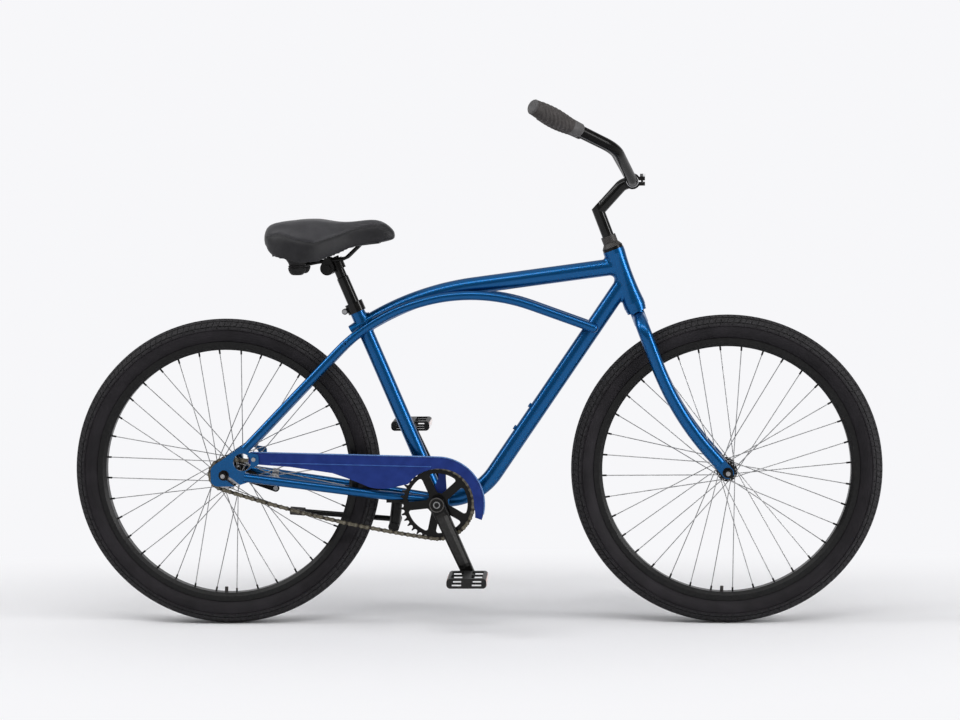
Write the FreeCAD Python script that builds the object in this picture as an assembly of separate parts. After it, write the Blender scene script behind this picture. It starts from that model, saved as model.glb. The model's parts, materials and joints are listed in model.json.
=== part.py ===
import FreeCAD, Part
import math
import os

os.makedirs("parts", exist_ok=True)

# Single-speed cruiser bicycle. Millimetres. +X is forward, +Z is up, the drive side is at -Y.
# The origin is on the ground, midway between the two axles.

Vec = FreeCAD.Vector
ORIGIN = Vec(0, 0, 0)
Y_AXIS = Vec(0, 1, 0)
Z_AXIS = Vec(0, 0, 1)
LEFT = 1
RIGHT = -1

# Clearances
RUNNING_FIT = 0.05
GAP = 0.3
OVERRUN = 5.0

# Stance
BEAD_SEAT_DIA = 559.0
TYRE_HEIGHT = 52.5
WHEELBASE = 1074.0
BB_DROP = 64.0
HEAD_ANGLE = math.radians(69.5)
SEAT_ANGLE = math.radians(67.4)
FORK_LENGTH = 396.0
FORK_OFFSET = 58.0

# Chain drive
CHAIN_PITCH = 12.7
CHAIN_LINKS = 100
CHAIN_SAG = 10.0
RING_TEETH = 38
SPROCKET_TEETH = 16
CHAIN_LINE = 47.0
ROLLER_DIA = 7.75
PIN_DIA = 3.6
PLATE_HEIGHT = 8.6
PLATE_THICKNESS = 1.0
INNER_WIDTH = 3.5
PIN_PROUD = 0.5
WAIST_SHARE = 0.72
TOOTH_THICKNESS = 3.0

# Frame tubes
TUBE_WALL = 1.8
HEAD_TUBE_LENGTH = 130.0
HEAD_TUBE_END_DIA = 46.0
HEAD_TUBE_WAIST_DIA = 40.0
HEAD_TUBE_RING = 9.0
HEAD_TUBE_BORE = 33.0
TOP_TUBE_DIA = 36.0
TOP_TUBE_DROP = 37.0
TOP_TUBE_SLOPE = math.radians(7.2)
TOP_TUBE_STRAIGHT = 313.0
TOP_TUBE_BEND = 590.0
TOP_TUBE_TURN = math.radians(27.2)
DOWN_TUBE_DIA = 36.0
DOWN_TUBE_RISE = 59.0
DOWN_TUBE_ANGLE = math.radians(55.5)
DOWN_TUBE_BEND = 130.0
DOWN_TUBE_FOOT_SLOPE = math.radians(6.8)
SEAT_TUBE_DIA = 31.8
SEAT_TUBE_LENGTH = 464.0
BB_SHELL_DIA = 40.0
BB_SHELL_WIDTH = 68.0
BB_SHELL_BORE = 34.6

# Twin side tubes that run on as seat stays, and the chain stays
STAY_DIA = 20.0
STAY_SINK = 1.0
STAY_FOOT = 120.0
STAY_FOOT_SIDE = 21.0
STAY_FRONT_SLOPE = math.radians(20.2)
STAY_FRONT_RUN = 264.0
STAY_BEND = 400.0
STAY_STRAIGHT = 6.0
STAY_CORNER_UP = 432.0
STAY_CORNER_AHEAD = 28.0
STAY_END_AHEAD = 47.0
STAY_END_UP = 56.0
CHAIN_STAY_DIA = 19.0
CHAIN_STAY_END_AHEAD = 44.0
CHAIN_STAY_END_DROP = 5.0
CHAIN_STAY_BEND_AHEAD = 322.0
CHAIN_STAY_BEND_DROP = 45.0
CHAIN_STAY_BEND_SIDE = 41.0
CHAIN_STAY_BEND = 150.0
CHAIN_STAY_FOOT_SIDE = 20.0
BRIDGE_DIA = 14.0
BRIDGE_DOWN = 78.0
RACK_BOSS_DIA = 11.0
RACK_BOSS_HEIGHT = 2.5

# Rear dropouts
REAR_SPACING = 110.0
DROPOUT_THICKNESS = 6.0
DROPOUT_REAR = 28.0
DROPOUT_LOW = 24.0
DROPOUT_LOW_AHEAD = 25.0
DROPOUT_BACK_UP = 17.0
DROPOUT_CORNER = 2.0
DROPOUT_LOW_ROUND = 7.0
DROPOUT_HEEL_ROUND = 14.0
DROPOUT_BACK_ROUND = 17.0
DROPOUT_STAY_SLOPE = math.radians(45.0)
DROPOUT_SLOT_ANGLE = math.radians(-38.0)
DROPOUT_THROAT_AHEAD = 40.0
DROPOUT_THROAT_UP = 28.0
DROPOUT_THROAT_DIA = 38.0
GUARD_TAB_AHEAD = 65.0
GUARD_TAB_UP = 34.0
GUARD_TAB_DIA = 22.0
GUARD_TAB_ROUND = 7.7
GUARD_TAB_INNER_ROUND = 5.5

# Bottle bosses on the down tube
BOSS_SPACING = 58.0
BOSS_FROM_HEAD = 335.0
BOSS_DIA = 10.0
BOSS_HEIGHT = 3.5
BOSS_THREAD = 4.2
BOSS_DEPTH = 13.0

# Headset
STEERER_DIA = 28.6
CUP_DIA = 44.0
CUP_LIP = 6.0
CUP_DEPTH = 14.0
COVER_HEIGHT = 10.0
LOCKNUT_DIA = 32.0
LOCKNUT_HEIGHT = 15.0

# Fork
CROWN_RACE_DIA = 42.0
CROWN_RACE_HEIGHT = 5.0
CROWN_DIA = 30.0
CROWN_DEPTH = 28.0
BLADE_DIA = 28.0
BLADE_SIDE = 48.0
BLADE_ROOT_DROP = 24.0
BLADE_ROOT_SIDE = 8.0
BLADE_SHOULDER_DROP = 40.0
BLADE_SHOULDER_BEND = 45.0
RAKE_BEND = 600.0
RAKE_TURN = math.radians(20.5)
FRONT_SPACING = 100.0
FORK_END_THICKNESS = 5.0
FORK_END_REACH = 24.0
FORK_END_DIA = 26.0

# Stem and handlebar
QUILL_DIA = 25.4
QUILL_BORE = 17.0
QUILL_INSERT = 62.0
ELBOW_UP = 218.0
STEM_KNEE_BACK = 22.0
STEM_KNEE_DROP = 8.0
STEM_KNEE_BEND = 24.0
EXPANDER_SEAT = 1.0
STEM_REACH = 89.0
STEM_RISE = 33.0
BAR_DIA = 22.2
BAR_WALL = 2.2
CLAMP_DIA = 34.0
CLAMP_WIDTH = 38.0
CLAMP_EAR = 26.5
CLAMP_EAR_THICKNESS = 8.0
CLAMP_SLOT = 3.0
STEM_BOLT_DIA = 6.0
STEM_BOLT_HEAD = 10.0
WEDGE_LENGTH = 32.0
WEDGE_ANGLE = math.radians(40.0)
BAR_SHOULDER_SIDE = 38.0
BAR_SHOULDER_BEND = 80.0
BAR_KNEE_BACK = 36.0
BAR_KNEE_SIDE = 205.0
BAR_KNEE_UP = 68.0
BAR_KNEE_BEND = 90.0
BAR_END_BACK = 200.0
BAR_END_SIDE = 330.0
BAR_END_UP = 151.0
GRIP_LENGTH = 124.0
GRIP_DIA = 37.0
GRIP_END_DIA = 32.0
GRIP_CAP_DIA = 26.0
GRIP_NECK_DIA = 30.0
GRIP_LIP_DIA = 28.0
GRIP_CAP = 4.0
GRIP_FAT_SHARE = 0.38
GRIP_NECK_SHARE = 0.72

# Wheels
TYRE_WIDTH = 51.0
TYRE_CROWN = 6.5
BEAD_WALL = 3.0
TREAD_HALF = 25.2
TREAD_DROP = 20.5
TREAD_STEP = 1.2
TUBE_SKIN = 1.5
VALVE_DIA = 8.0
VALVE_LENGTH = 11.0
RIM_WIDTH = 31.0
RIM_HOOK = 3.5
RIM_HOOK_WALL = 2.0
RIM_WELL = 5.0
RIM_WELL_HALF = 7.0
RIM_INNER_R = 265.0
RIM_INNER_HALF = 9.0
RIM_SIDE_DROP = 7.5
SPOKES = 36
SPOKE_DIA = 2.0
SPOKE_TURN = math.radians(60.0)
SPOKE_PHASE = math.radians(2.8)
SPOKE_RIM_SIDE = 3.5
SPOKE_HEAD = 3.4
NIPPLE_DIA = 4.0
NIPPLE_LENGTH = 13.0
NIPPLE_PROUD = 9.0
FLANGE_THICKNESS = 3.2
AXLE_DIA = 9.5
AXLE_PROUD = 15.0
NUT_FLATS = 15.0
NUT_HEIGHT = 9.0
WASHER_DIA = 22.0
WASHER_THICKNESS = 2.0
CONE_DIA = 18.0
FRONT_HUB_WIDTH = 92.0
FRONT_FLANGE_SIDE = 30.0
FRONT_FLANGE_DIA = 44.0
FRONT_HOLE_CIRCLE = 37.0
FRONT_BARREL_DIA = 26.0
FRONT_CAP_DIA = 27.0
REAR_HUB_WIDTH = 76.0
REAR_FLANGE_SIDE = 30.0
REAR_FLANGE_DIA = 66.0
REAR_HOLE_CIRCLE = 58.0
REAR_BARREL_DIA = 47.0
REAR_CAP_DIA = 50.0
HUB_SLOPE_SHARE = 0.3
DRIVER_DIA = 36.0
DRIVER_END = 51.0
BRAKE_CONE_DIA = 46.0
BRAKE_CONE_WIDTH = 4.0
BRAKE_ARM_THICKNESS = 3.0
BRAKE_ARM_HUB_DIA = 34.0
BRAKE_ARM_END_DIA = 16.0
BRAKE_ARM_AHEAD = 96.0
BRAKE_ARM_DROP = 44.0
CLIP_WIDTH = 14.0
CLIP_THICKNESS = 1.6
CLIP_BOLT_DIA = 5.0

# Crank set and pedals
SPINDLE_DIA = 16.0
CUP_FLANGE_DIA = 41.0
CUP_FLANGE = 3.0
CUP_BODY = 15.0
CRANK_LENGTH = 165.0
CRANK_ANGLE = math.radians(-66.2)
CRANK_INNER_SIDE = 57.5
CRANK_THICKNESS = 14.0
CRANK_BOSS_DIA = 32.0
CRANK_END_DIA = 27.0
CRANK_BOSS_PROUD = 2.0
CRANK_BOLT_DIA = 17.0
CRANK_BOLT_HEAD = 5.0
CRANK_ROUND = 3.5
LEFT_BOSS_SIDE = 40.0
RING_HUB_DIA = 46.0
RING_ARMS = 5
RING_ARM_WIDTH = 18.0
RING_BAND = 8.5
RING_CORNER = 5.0
SEAT_CLEARANCE = 0.15
SEAT_SPREAD = math.radians(60.0)
TOOTH_TIP = 3.9
TOOTH_TIP_WIDTH = 2.2
PEDAL_AXLE_DIA = 10.0
PEDAL_SHOULDER_DIA = 18.0
PEDAL_SHOULDER = 5.0
PEDAL_WIDTH = 88.0
PEDAL_LENGTH = 84.0
PEDAL_HEIGHT = 21.0
PEDAL_BARREL_DIA = 18.0
PEDAL_RAIL = 9.0
PEDAL_END = 8.0
PEDAL_WEB = 4.0
PEDAL_CORNER = 8.0
REFLECTOR_WIDTH = 62.0
REFLECTOR_HEIGHT = 12.0
REFLECTOR_DEPTH = 3.0

# Chain guard
GUARD_THICKNESS = 1.5
GUARD_OUTER_R = 101.0
GUARD_INNER_R = 75.0
GUARD_FRONT_R = 78.0
GUARD_TIP_R = 86.0
GUARD_TIP_ANGLE = math.radians(-20.5)
GUARD_TOP_ANGLE = math.radians(88.0)
GUARD_BACK_ANGLE = math.radians(145.0)
# The lower edge as shares of the outer radius: two straights, then two arcs by a point and an end
GUARD_LOWER_SHARES = (
    (-3.11, 0.80),
    (-2.22, 0.665),
    ((-1.84, 0.53), (-1.45, 0.365)),
    ((-1.14, 0.325), (-0.84, 0.371)),
)
GUARD_BEAD_DIA = 2.4
GUARD_BEAD_SHARES = ((-3.52, 0.886), (-0.12, 0.79))
GUARD_BOLT_DIA = 5.0
GUARD_BOLT_HEAD = 9.0
GUARD_HEAD_HEIGHT = 3.0
GUARD_NUT_HEIGHT = 1.2
BRACKET_THICKNESS = 2.5
BRACKET_AHEAD = 10.0
BRACKET_UP = 51.0
BRACKET_WIDTH = 16.0
BRACKET_TOP = 92.0
BRACKET_HUB_DIA = 42.0
GUARD_CORNER = 8.0

# Seat post and clamp
SEATPOST_DIA = 25.4
SEATPOST_WALL = 2.2
SEATPOST_INSERT = 150.0
SEATPOST_NECK_DIA = 22.2
SEATPOST_NECK = 46.0
SEATPOST_TOP = 570.0
COLLAR_HEIGHT = 22.0
COLLAR_WALL = 3.6
COLLAR_LUG = 13.0
COLLAR_LUG_PROUD = 4.3
COLLAR_LUG_WIDTH = 15.0
COLLAR_SLOT = 2.5
COLLAR_BOLT_DIA = 5.0

# Saddle
CLAMP_UP = 553.0
CLAMP_BACK = 19.0
CLAMP_BAND_HEIGHT = 24.0
CLAMP_BAND_WALL = 5.0
CLAMP_BARREL_DIA = 20.0
CLAMP_BARREL_WIDTH = 33.0
CLAMP_BOLT_DIA = 8.0
CLAMP_NUT_FLATS = 14.0
CLAMP_NUT = 6.0
RAIL_DIA = 7.0
RAIL_SIDE = 22.0
RAIL_LIFT = 14.0
RAIL_BLOCK_DIA = 30.0
RAIL_BLOCK_WIDTH = 12.0
RAIL_TOP_DIA = 17.0
SADDLE_LENGTH = 278.0
SADDLE_WIDTH = 212.0
SADDLE_NOSE_AHEAD = 145.0
SADDLE_TOP_UP = 104.0
SADDLE_BASE_THICKNESS = 4.0
SADDLE_BASE_INSET = 9.0
SADDLE_BASE_UP = 44.0
SADDLE_BASE_SLOPE = math.radians(6.0)
BUMPER_DIA = 36.0
BUMPER_HEIGHT = 26.0
BUMPER_SIDE = 38.0
BUMPER_BACK = 63.0
BUMPER_DROP = 11.0
BUMPER_WAIST_SHARE = 0.82
RAIL_REAR_UP = 5.0
RAIL_STEPS = ((-20.0, 13.0), (38.0, 20.0), (72.0, 52.0))
RAIL_NOSE_SIDE = 14.0
RAIL_BEND = 22.0
# Along the length, half width, lower edge, upper edge
SADDLE_SHARES = (
    (0.0, 0.40, 0.50, 0.72),
    (0.08, 0.80, 0.36, 0.94),
    (0.25, 1.0, 0.20, 1.0),
    (0.42, 0.93, 0.18, 0.98),
    (0.56, 0.64, 0.30, 0.93),
    (0.70, 0.39, 0.43, 0.94),
    (0.88, 0.29, 0.52, 0.95),
    (1.0, 0.13, 0.58, 0.72),
)
CROWN_SHARES = ((0.94, 0.0), (1.0, 0.4), (0.72, 0.9), (0.0, 1.0))
BASE_SHARES = (0.08, 0.25, 0.42, 0.56, 0.70, 0.88)

# Kickstand
STAND_BACK = 98.0
STAND_DROP = 52.0
STAND_SIDE = 38.0
STAND_YAW = math.radians(7.5)
STAND_TILT = math.radians(27.3)
STAND_PLATE_LENGTH = 40.0
STAND_PLATE_THICKNESS = 6.0
STAND_BOSS_DIA = 24.0
STAND_BOSS_WIDTH = 24.4
STAND_HUB_WIDTH = 12.0
STAND_PIN_DIA = 8.0
STAND_LEG_DIA = 12.0
STAND_PLATE_AHEAD = 8.0
STAND_PLATE_UP = 56.0
STAND_PLATE_WIDTH = 86.0
STAND_COLUMN_DIA = 24.0
STAND_CAP = 3.0
BOOT_SHARE = 0.6
STAND_LEG_BACK = 222.0
STAND_LEG_OUT = 21.0
STAND_LEG_UP = 15.0
STAND_FOOT_DIA = 18.0
STAND_FOOT_LENGTH = 32.0


def chain_radius(teeth):
    return CHAIN_PITCH / (2 * math.sin(math.pi / teeth))


RING_PITCH_R = chain_radius(RING_TEETH)
SPROCKET_PITCH_R = chain_radius(SPROCKET_TEETH)


def chain_runs(centres):
    """Turns of the chain on its two sprockets, measured from the line between their centres.

    The upper run is straight. The lower run hangs in a shallow arc that both sprockets touch from inside.
    """
    lean = math.asin((RING_PITCH_R - SPROCKET_PITCH_R) / centres)
    sag_r = centres ** 2 / (8 * CHAIN_SAG)
    to_sprocket = sag_r - SPROCKET_PITCH_R
    to_ring = sag_r - RING_PITCH_R
    along = (to_sprocket ** 2 - to_ring ** 2 + centres ** 2) / (2 * centres)
    up = math.sqrt(to_sprocket ** 2 - along ** 2)
    ring_turn = math.atan2(-up, centres - along)
    sprocket_turn = math.atan2(-up, -along)
    return lean, ring_turn, sprocket_turn, sag_r


def chain_lengths(centres):
    """Links on the upper run, round the ring, on the lower run and round the sprocket."""
    lean, ring_turn, sprocket_turn, sag_r = chain_runs(centres)
    start = math.pi / 2 + lean
    upper = centres * math.cos(lean) / CHAIN_PITCH
    ring = (start - ring_turn) * RING_TEETH / (2 * math.pi)
    lower = (ring_turn - sprocket_turn) * sag_r / CHAIN_PITCH
    sprocket = (2 * math.pi - start + sprocket_turn) * SPROCKET_TEETH / (2 * math.pi)
    return upper, ring, lower, sprocket


def chain_centres():
    """Distance between the two sprocket centres at which the chain has its whole number of links."""
    distance = CHAIN_PITCH * CHAIN_LINKS / 3
    for _ in range(40):
        distance += (CHAIN_LINKS - sum(chain_lengths(distance))) * CHAIN_PITCH / 2
    return distance


CENTRES = chain_centres()
AXLE_Z = BEAD_SEAT_DIA / 2 + TYRE_HEIGHT
REAR_AXLE = Vec(-WHEELBASE / 2, 0, AXLE_Z)
FRONT_AXLE = Vec(WHEELBASE / 2, 0, AXLE_Z)
BB = REAR_AXLE + Vec(math.sqrt(CENTRES ** 2 - BB_DROP ** 2), 0, -BB_DROP)
HEAD_UP = Vec(-math.cos(HEAD_ANGLE), 0, math.sin(HEAD_ANGLE))
HEAD_FRONT = Vec(math.sin(HEAD_ANGLE), 0, math.cos(HEAD_ANGLE))
SEAT_UP = Vec(-math.cos(SEAT_ANGLE), 0, math.sin(SEAT_ANGLE))
SEAT_FRONT = Vec(math.sin(SEAT_ANGLE), 0, math.cos(SEAT_ANGLE))
HEAD_BASE = FRONT_AXLE + HEAD_UP * FORK_LENGTH - HEAD_FRONT * FORK_OFFSET


def on_head(up, front=0, side=0):
    """A point in the steering axis's own directions, from the lower end of the head tube."""
    return HEAD_BASE + HEAD_UP * up + HEAD_FRONT * front + Y_AXIS * side


def on_seat(up, front=0, side=0):
    """A point in the seat tube's own directions, from the bottom bracket."""
    return BB + SEAT_UP * up + SEAT_FRONT * front + Y_AXIS * side


def heading(angle):
    """Unit vector in the XZ plane, the angle measured from +X towards +Z."""
    return Vec(math.cos(angle), 0, math.sin(angle))


def to_side(point, side):
    return Vec(point.x, side, point.z)


# Shape helpers

def rod(start, end, radius):
    run = end - start
    return Part.makeCylinder(radius, run.Length, start, run)


def across(centre, near, far, radius):
    """A rod along Y between two side distances."""
    return rod(to_side(centre, near), to_side(centre, far), radius)


def union(shapes):
    return shapes[0].multiFuse(shapes[1:]).removeSplitter()


def corner(before, point, after, radius):
    """Arc that rounds a corner of a path: its ends, its centre, its axis and its turn."""
    a = (point - before).normalize()
    b = (after - point).normalize()
    turn = a.getAngle(b)
    reach = radius * math.tan(turn / 2)
    start = point - a * reach
    end = point + b * reach
    axis = a.cross(b).normalize()
    return start, end, start + axis.cross(a) * radius, axis, turn


def bent_rod(points, bends, radius):
    """Round bar along straight runs that tangent arcs join."""
    pieces = []
    here = points[0]
    for before, point, after, bend in zip(points, points[1:], points[2:], bends):
        start, end, centre, axis, turn = corner(before, point, after, bend)
        pieces.append(rod(here, start, radius))
        disc = Part.Face(Part.Wire(Part.makeCircle(radius, start, start - here)))
        pieces.append(disc.revolve(centre, axis, math.degrees(turn)))
        here = end
    pieces.append(rod(here, points[-1], radius))
    return union(pieces)


def bent_tube(points, bends, diameter, wall):
    return bent_rod(points, bends, diameter / 2).cut(bent_rod(points, bends, diameter / 2 - wall))


def flat(point):
    return Vec(point[0], 0, point[1])


def outline(start, *steps):
    """Closed outline in the XZ plane. A step is a point, or a pair (through, end) for an arc."""
    edges = []
    here = start
    for step in steps:
        if isinstance(step[0], tuple):
            edges.append(Part.Arc(flat(here), flat(step[0]), flat(step[1])).toShape())
            here = step[1]
        else:
            edges.append(Part.LineSegment(flat(here), flat(step)).toShape())
            here = step
    if flat(here).distanceToPoint(flat(start)) > RUNNING_FIT:
        edges.append(Part.LineSegment(flat(here), flat(start)).toShape())
    return Part.Wire(edges)


def rounded(points, radii):
    """Closed polygon in the XZ plane with each corner rounded to its own radius."""
    places = [flat(p) for p in points]
    count = len(places)
    arcs = []
    for i, radius in enumerate(radii):
        arcs.append(corner(places[i - 1], places[i], places[(i + 1) % count], radius))
    edges = []
    for i, (start, end, centre, axis, turn) in enumerate(arcs):
        middle = centre + (places[i] - centre).normalize() * radii[i]
        edges.append(Part.Arc(start, middle, end).toShape())
        follow = arcs[(i + 1) % count][0]
        edges.append(Part.LineSegment(end, follow).toShape())
    return Part.Wire(edges)


def plate(wire, near, thickness, origin=ORIGIN):
    """Sheet cut to an outline drawn about the origin, from one side distance, thickness along +Y."""
    sheet = Part.Face(wire).extrude(Vec(0, thickness, 0))
    sheet.translate(Vec(origin.x, near, origin.z))
    return sheet


def turned(wire, base, axis):
    """Solid of revolution: the outline's first coordinate is the radius, the second runs along the axis."""
    solid = Part.Face(wire).revolve(ORIGIN, Z_AXIS, 360)
    solid.Placement = FreeCAD.Placement(base, FreeCAD.Rotation(Z_AXIS, axis))
    return solid


def ring(base, axis, outer, inner, length):
    wire = outline((inner, 0), (outer, 0), (outer, length), (inner, length))
    return turned(wire, base, axis)


def hexagon(base, axis, across_flats, length):
    """Hexagonal prism along an axis."""
    corner_r = across_flats / math.sqrt(3)
    corners = []
    for i in range(7):
        angle = i * math.pi / 3
        corners.append(Vec(corner_r * math.cos(angle), corner_r * math.sin(angle), 0))
    solid = Part.Face(Part.makePolygon(corners)).extrude(Vec(0, 0, length))
    solid.Placement = FreeCAD.Placement(base, FreeCAD.Rotation(Z_AXIS, axis))
    return solid


def link_outline(start, start_r, end, end_r):
    """Outline of two round ends joined by their outer tangents, in the XZ plane."""
    run = flat(end) - flat(start)
    along = math.atan2(run.z, run.x)
    spread = math.acos((start_r - end_r) / run.Length)

    def on(centre, radius, angle):
        return (centre[0] + radius * math.cos(angle), centre[1] + radius * math.sin(angle))

    return outline(
        on(start, start_r, along + spread),
        (on(start, start_r, along + math.pi), on(start, start_r, along - spread)),
        on(end, end_r, along - spread),
        (on(end, end_r, along), on(end, end_r, along + spread)),
    )


def save(name, *shapes):
    whole = shapes[0] if len(shapes) == 1 else Part.makeCompound(list(shapes))
    whole.exportStep("parts/" + name + ".step")


# Frame

def head_tube():
    end_r = HEAD_TUBE_END_DIA / 2
    bore = HEAD_TUBE_BORE / 2
    top = HEAD_TUBE_LENGTH
    wire = outline(
        (bore, 0),
        (end_r, 0),
        (end_r, HEAD_TUBE_RING),
        ((HEAD_TUBE_WAIST_DIA / 2, top / 2), (end_r, top - HEAD_TUBE_RING)),
        (end_r, top),
        (bore, top),
    )
    return turned(wire, HEAD_BASE, HEAD_UP)


def head_core():
    """The head tube with its bore filled, for cutting the mitres of other tubes."""
    return head_tube().fuse(rod(on_head(0), on_head(HEAD_TUBE_LENGTH), HEAD_TUBE_BORE / 2))


TOP_TUBE_HEAD = on_head(HEAD_TUBE_LENGTH - TOP_TUBE_DROP)
DOWN_TUBE_HEAD = on_head(DOWN_TUBE_RISE)
DOWN_TUBE_DIR = heading(math.pi + DOWN_TUBE_ANGLE)


def top_tube_path():
    straight = heading(math.pi + TOP_TUBE_SLOPE)
    after = heading(math.pi + TOP_TUBE_SLOPE + TOP_TUBE_TURN)
    reach = TOP_TUBE_BEND * math.tan(TOP_TUBE_TURN / 2)
    knee = TOP_TUBE_HEAD + straight * (TOP_TUBE_STRAIGHT + reach)
    return [TOP_TUBE_HEAD, knee, knee + after * (reach + TUBE_WALL)]


def down_tube_path():
    foot = heading(DOWN_TUBE_FOOT_SLOPE)
    gap = BB - DOWN_TUBE_HEAD
    run = (gap.x * foot.z - gap.z * foot.x) / (DOWN_TUBE_DIR.x * foot.z - DOWN_TUBE_DIR.z * foot.x)
    return [DOWN_TUBE_HEAD, DOWN_TUBE_HEAD + DOWN_TUBE_DIR * run, BB]


def down_tube_core():
    return bent_rod(down_tube_path(), [DOWN_TUBE_BEND], DOWN_TUBE_DIA / 2)


def top_tube_core():
    return bent_rod(top_tube_path(), [TOP_TUBE_BEND], TOP_TUBE_DIA / 2)


def seat_tube_core():
    return rod(BB, on_seat(SEAT_TUBE_LENGTH), SEAT_TUBE_DIA / 2)


def shell_core():
    half = BB_SHELL_WIDTH / 2
    return across(BB, -half, half, BB_SHELL_DIA / 2)


def boss_point(index):
    """Centre of a bottle boss on the down tube's axis."""
    return DOWN_TUBE_HEAD + DOWN_TUBE_DIR * (BOSS_FROM_HEAD + index * BOSS_SPACING)


BOSS_DIR = heading(math.pi / 2 + DOWN_TUBE_ANGLE)


def down_tube():
    tube = bent_tube(down_tube_path(), [DOWN_TUBE_BEND], DOWN_TUBE_DIA, TUBE_WALL)
    face = DOWN_TUBE_DIA / 2 + BOSS_HEIGHT
    for i in range(2):
        foot = boss_point(i)
        boss = rod(foot + BOSS_DIR * (face - BOSS_DEPTH), foot + BOSS_DIR * face, BOSS_DIA / 2)
        tube = tube.fuse(boss)
    for i in range(2):
        foot = boss_point(i)
        thread = rod(foot, foot + BOSS_DIR * (face + OVERRUN), BOSS_THREAD / 2)
        tube = tube.cut(thread)
    return tube.cut(head_core()).cut(shell_core()).cut(seat_tube_core())


def top_tube():
    path = top_tube_path()
    radius = TOP_TUBE_DIA / 2
    tube = bent_tube(path, [TOP_TUBE_BEND], TOP_TUBE_DIA, TUBE_WALL)
    closing = (path[2] - path[1]).normalize()
    cap = rod(path[2] - closing * TUBE_WALL, path[2], radius)
    return tube.fuse(cap).cut(head_core()).cut(seat_tube_core())


def seat_tube():
    tube = seat_tube_core().cut(shell_core())
    return tube.cut(rod(BB, on_seat(SEAT_TUBE_LENGTH + OVERRUN), SEATPOST_DIA / 2 + RUNNING_FIT))


def bottom_bracket_shell():
    half = BB_SHELL_WIDTH / 2
    return shell_core().cut(across(BB, -half - OVERRUN, half + OVERRUN, BB_SHELL_BORE / 2))


DROPOUT_MID = REAR_SPACING / 2 + DROPOUT_THICKNESS / 2


def stay_path(side):
    touch = (SEAT_TUBE_DIA + STAY_DIA) / 2 - STAY_SINK
    foot = DOWN_TUBE_HEAD + DOWN_TUBE_DIR * STAY_FOOT
    crest = foot + heading(math.pi - STAY_FRONT_SLOPE) * STAY_FRONT_RUN
    knee = on_seat(STAY_CORNER_UP) + Vec(STAY_CORNER_AHEAD, 0, 0)
    end = REAR_AXLE + Vec(STAY_END_AHEAD, 0, STAY_END_UP)
    return [
        to_side(foot, side * STAY_FOOT_SIDE),
        to_side(crest, side * touch),
        to_side(knee, side * touch),
        to_side(end, side * DROPOUT_MID),
    ]


def stay_bends(path):
    """The two bends share the run between them, but for a short straight."""
    reach = []
    for before, point, after in zip(path, path[1:], path[2:]):
        reach.append(math.tan((point - before).getAngle(after - point) / 2))
    bend = min(STAY_BEND, ((path[2] - path[1]).Length - STAY_STRAIGHT) / sum(reach))
    return [bend, bend]


def bridge_point(side):
    """Where the bridge meets a seat stay, with a threaded boss for a rack on the outer side."""
    path = stay_path(side)
    return path[2] + (path[3] - path[2]).normalize() * BRIDGE_DOWN


def stay_tube(side):
    path = stay_path(side)
    bends = stay_bends(path)
    tube = bent_tube(path, bends, STAY_DIA, TUBE_WALL)
    nose = Part.makeSphere(STAY_DIA / 2, path[0])
    place = bridge_point(side)
    face = place.y + side * (STAY_DIA / 2 + RACK_BOSS_HEIGHT)
    boss = across(place, place.y, face, RACK_BOSS_DIA / 2)
    tube = union([tube, nose, boss]).cut(across(place, place.y, face + side * OVERRUN, BOSS_THREAD / 2))
    for core in (down_tube_core(), top_tube_core(), seat_tube_core(), dropout(side)):
        tube = tube.cut(core)
    return largest(tube)


def largest(shape):
    return max(shape.Solids, key=lambda solid: solid.Volume)


def chain_stay_path(side):
    end = REAR_AXLE + Vec(CHAIN_STAY_END_AHEAD, 0, -CHAIN_STAY_END_DROP)
    knee = REAR_AXLE + Vec(CHAIN_STAY_BEND_AHEAD, 0, -CHAIN_STAY_BEND_DROP)
    return [
        to_side(end, side * DROPOUT_MID),
        to_side(knee, side * CHAIN_STAY_BEND_SIDE),
        to_side(BB, side * CHAIN_STAY_FOOT_SIDE),
    ]


def chain_stay(side):
    path = chain_stay_path(side)
    tube = bent_tube(path, [CHAIN_STAY_BEND], CHAIN_STAY_DIA, TUBE_WALL)
    closing = (path[1] - path[0]).normalize()
    cap = rod(path[0], path[0] + closing * TUBE_WALL, CHAIN_STAY_DIA / 2)
    tube = tube.fuse(cap).cut(dropout(side)).cut(shell_core())
    return largest(tube.cut(seat_tube_core()).cut(down_tube_core()))


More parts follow.
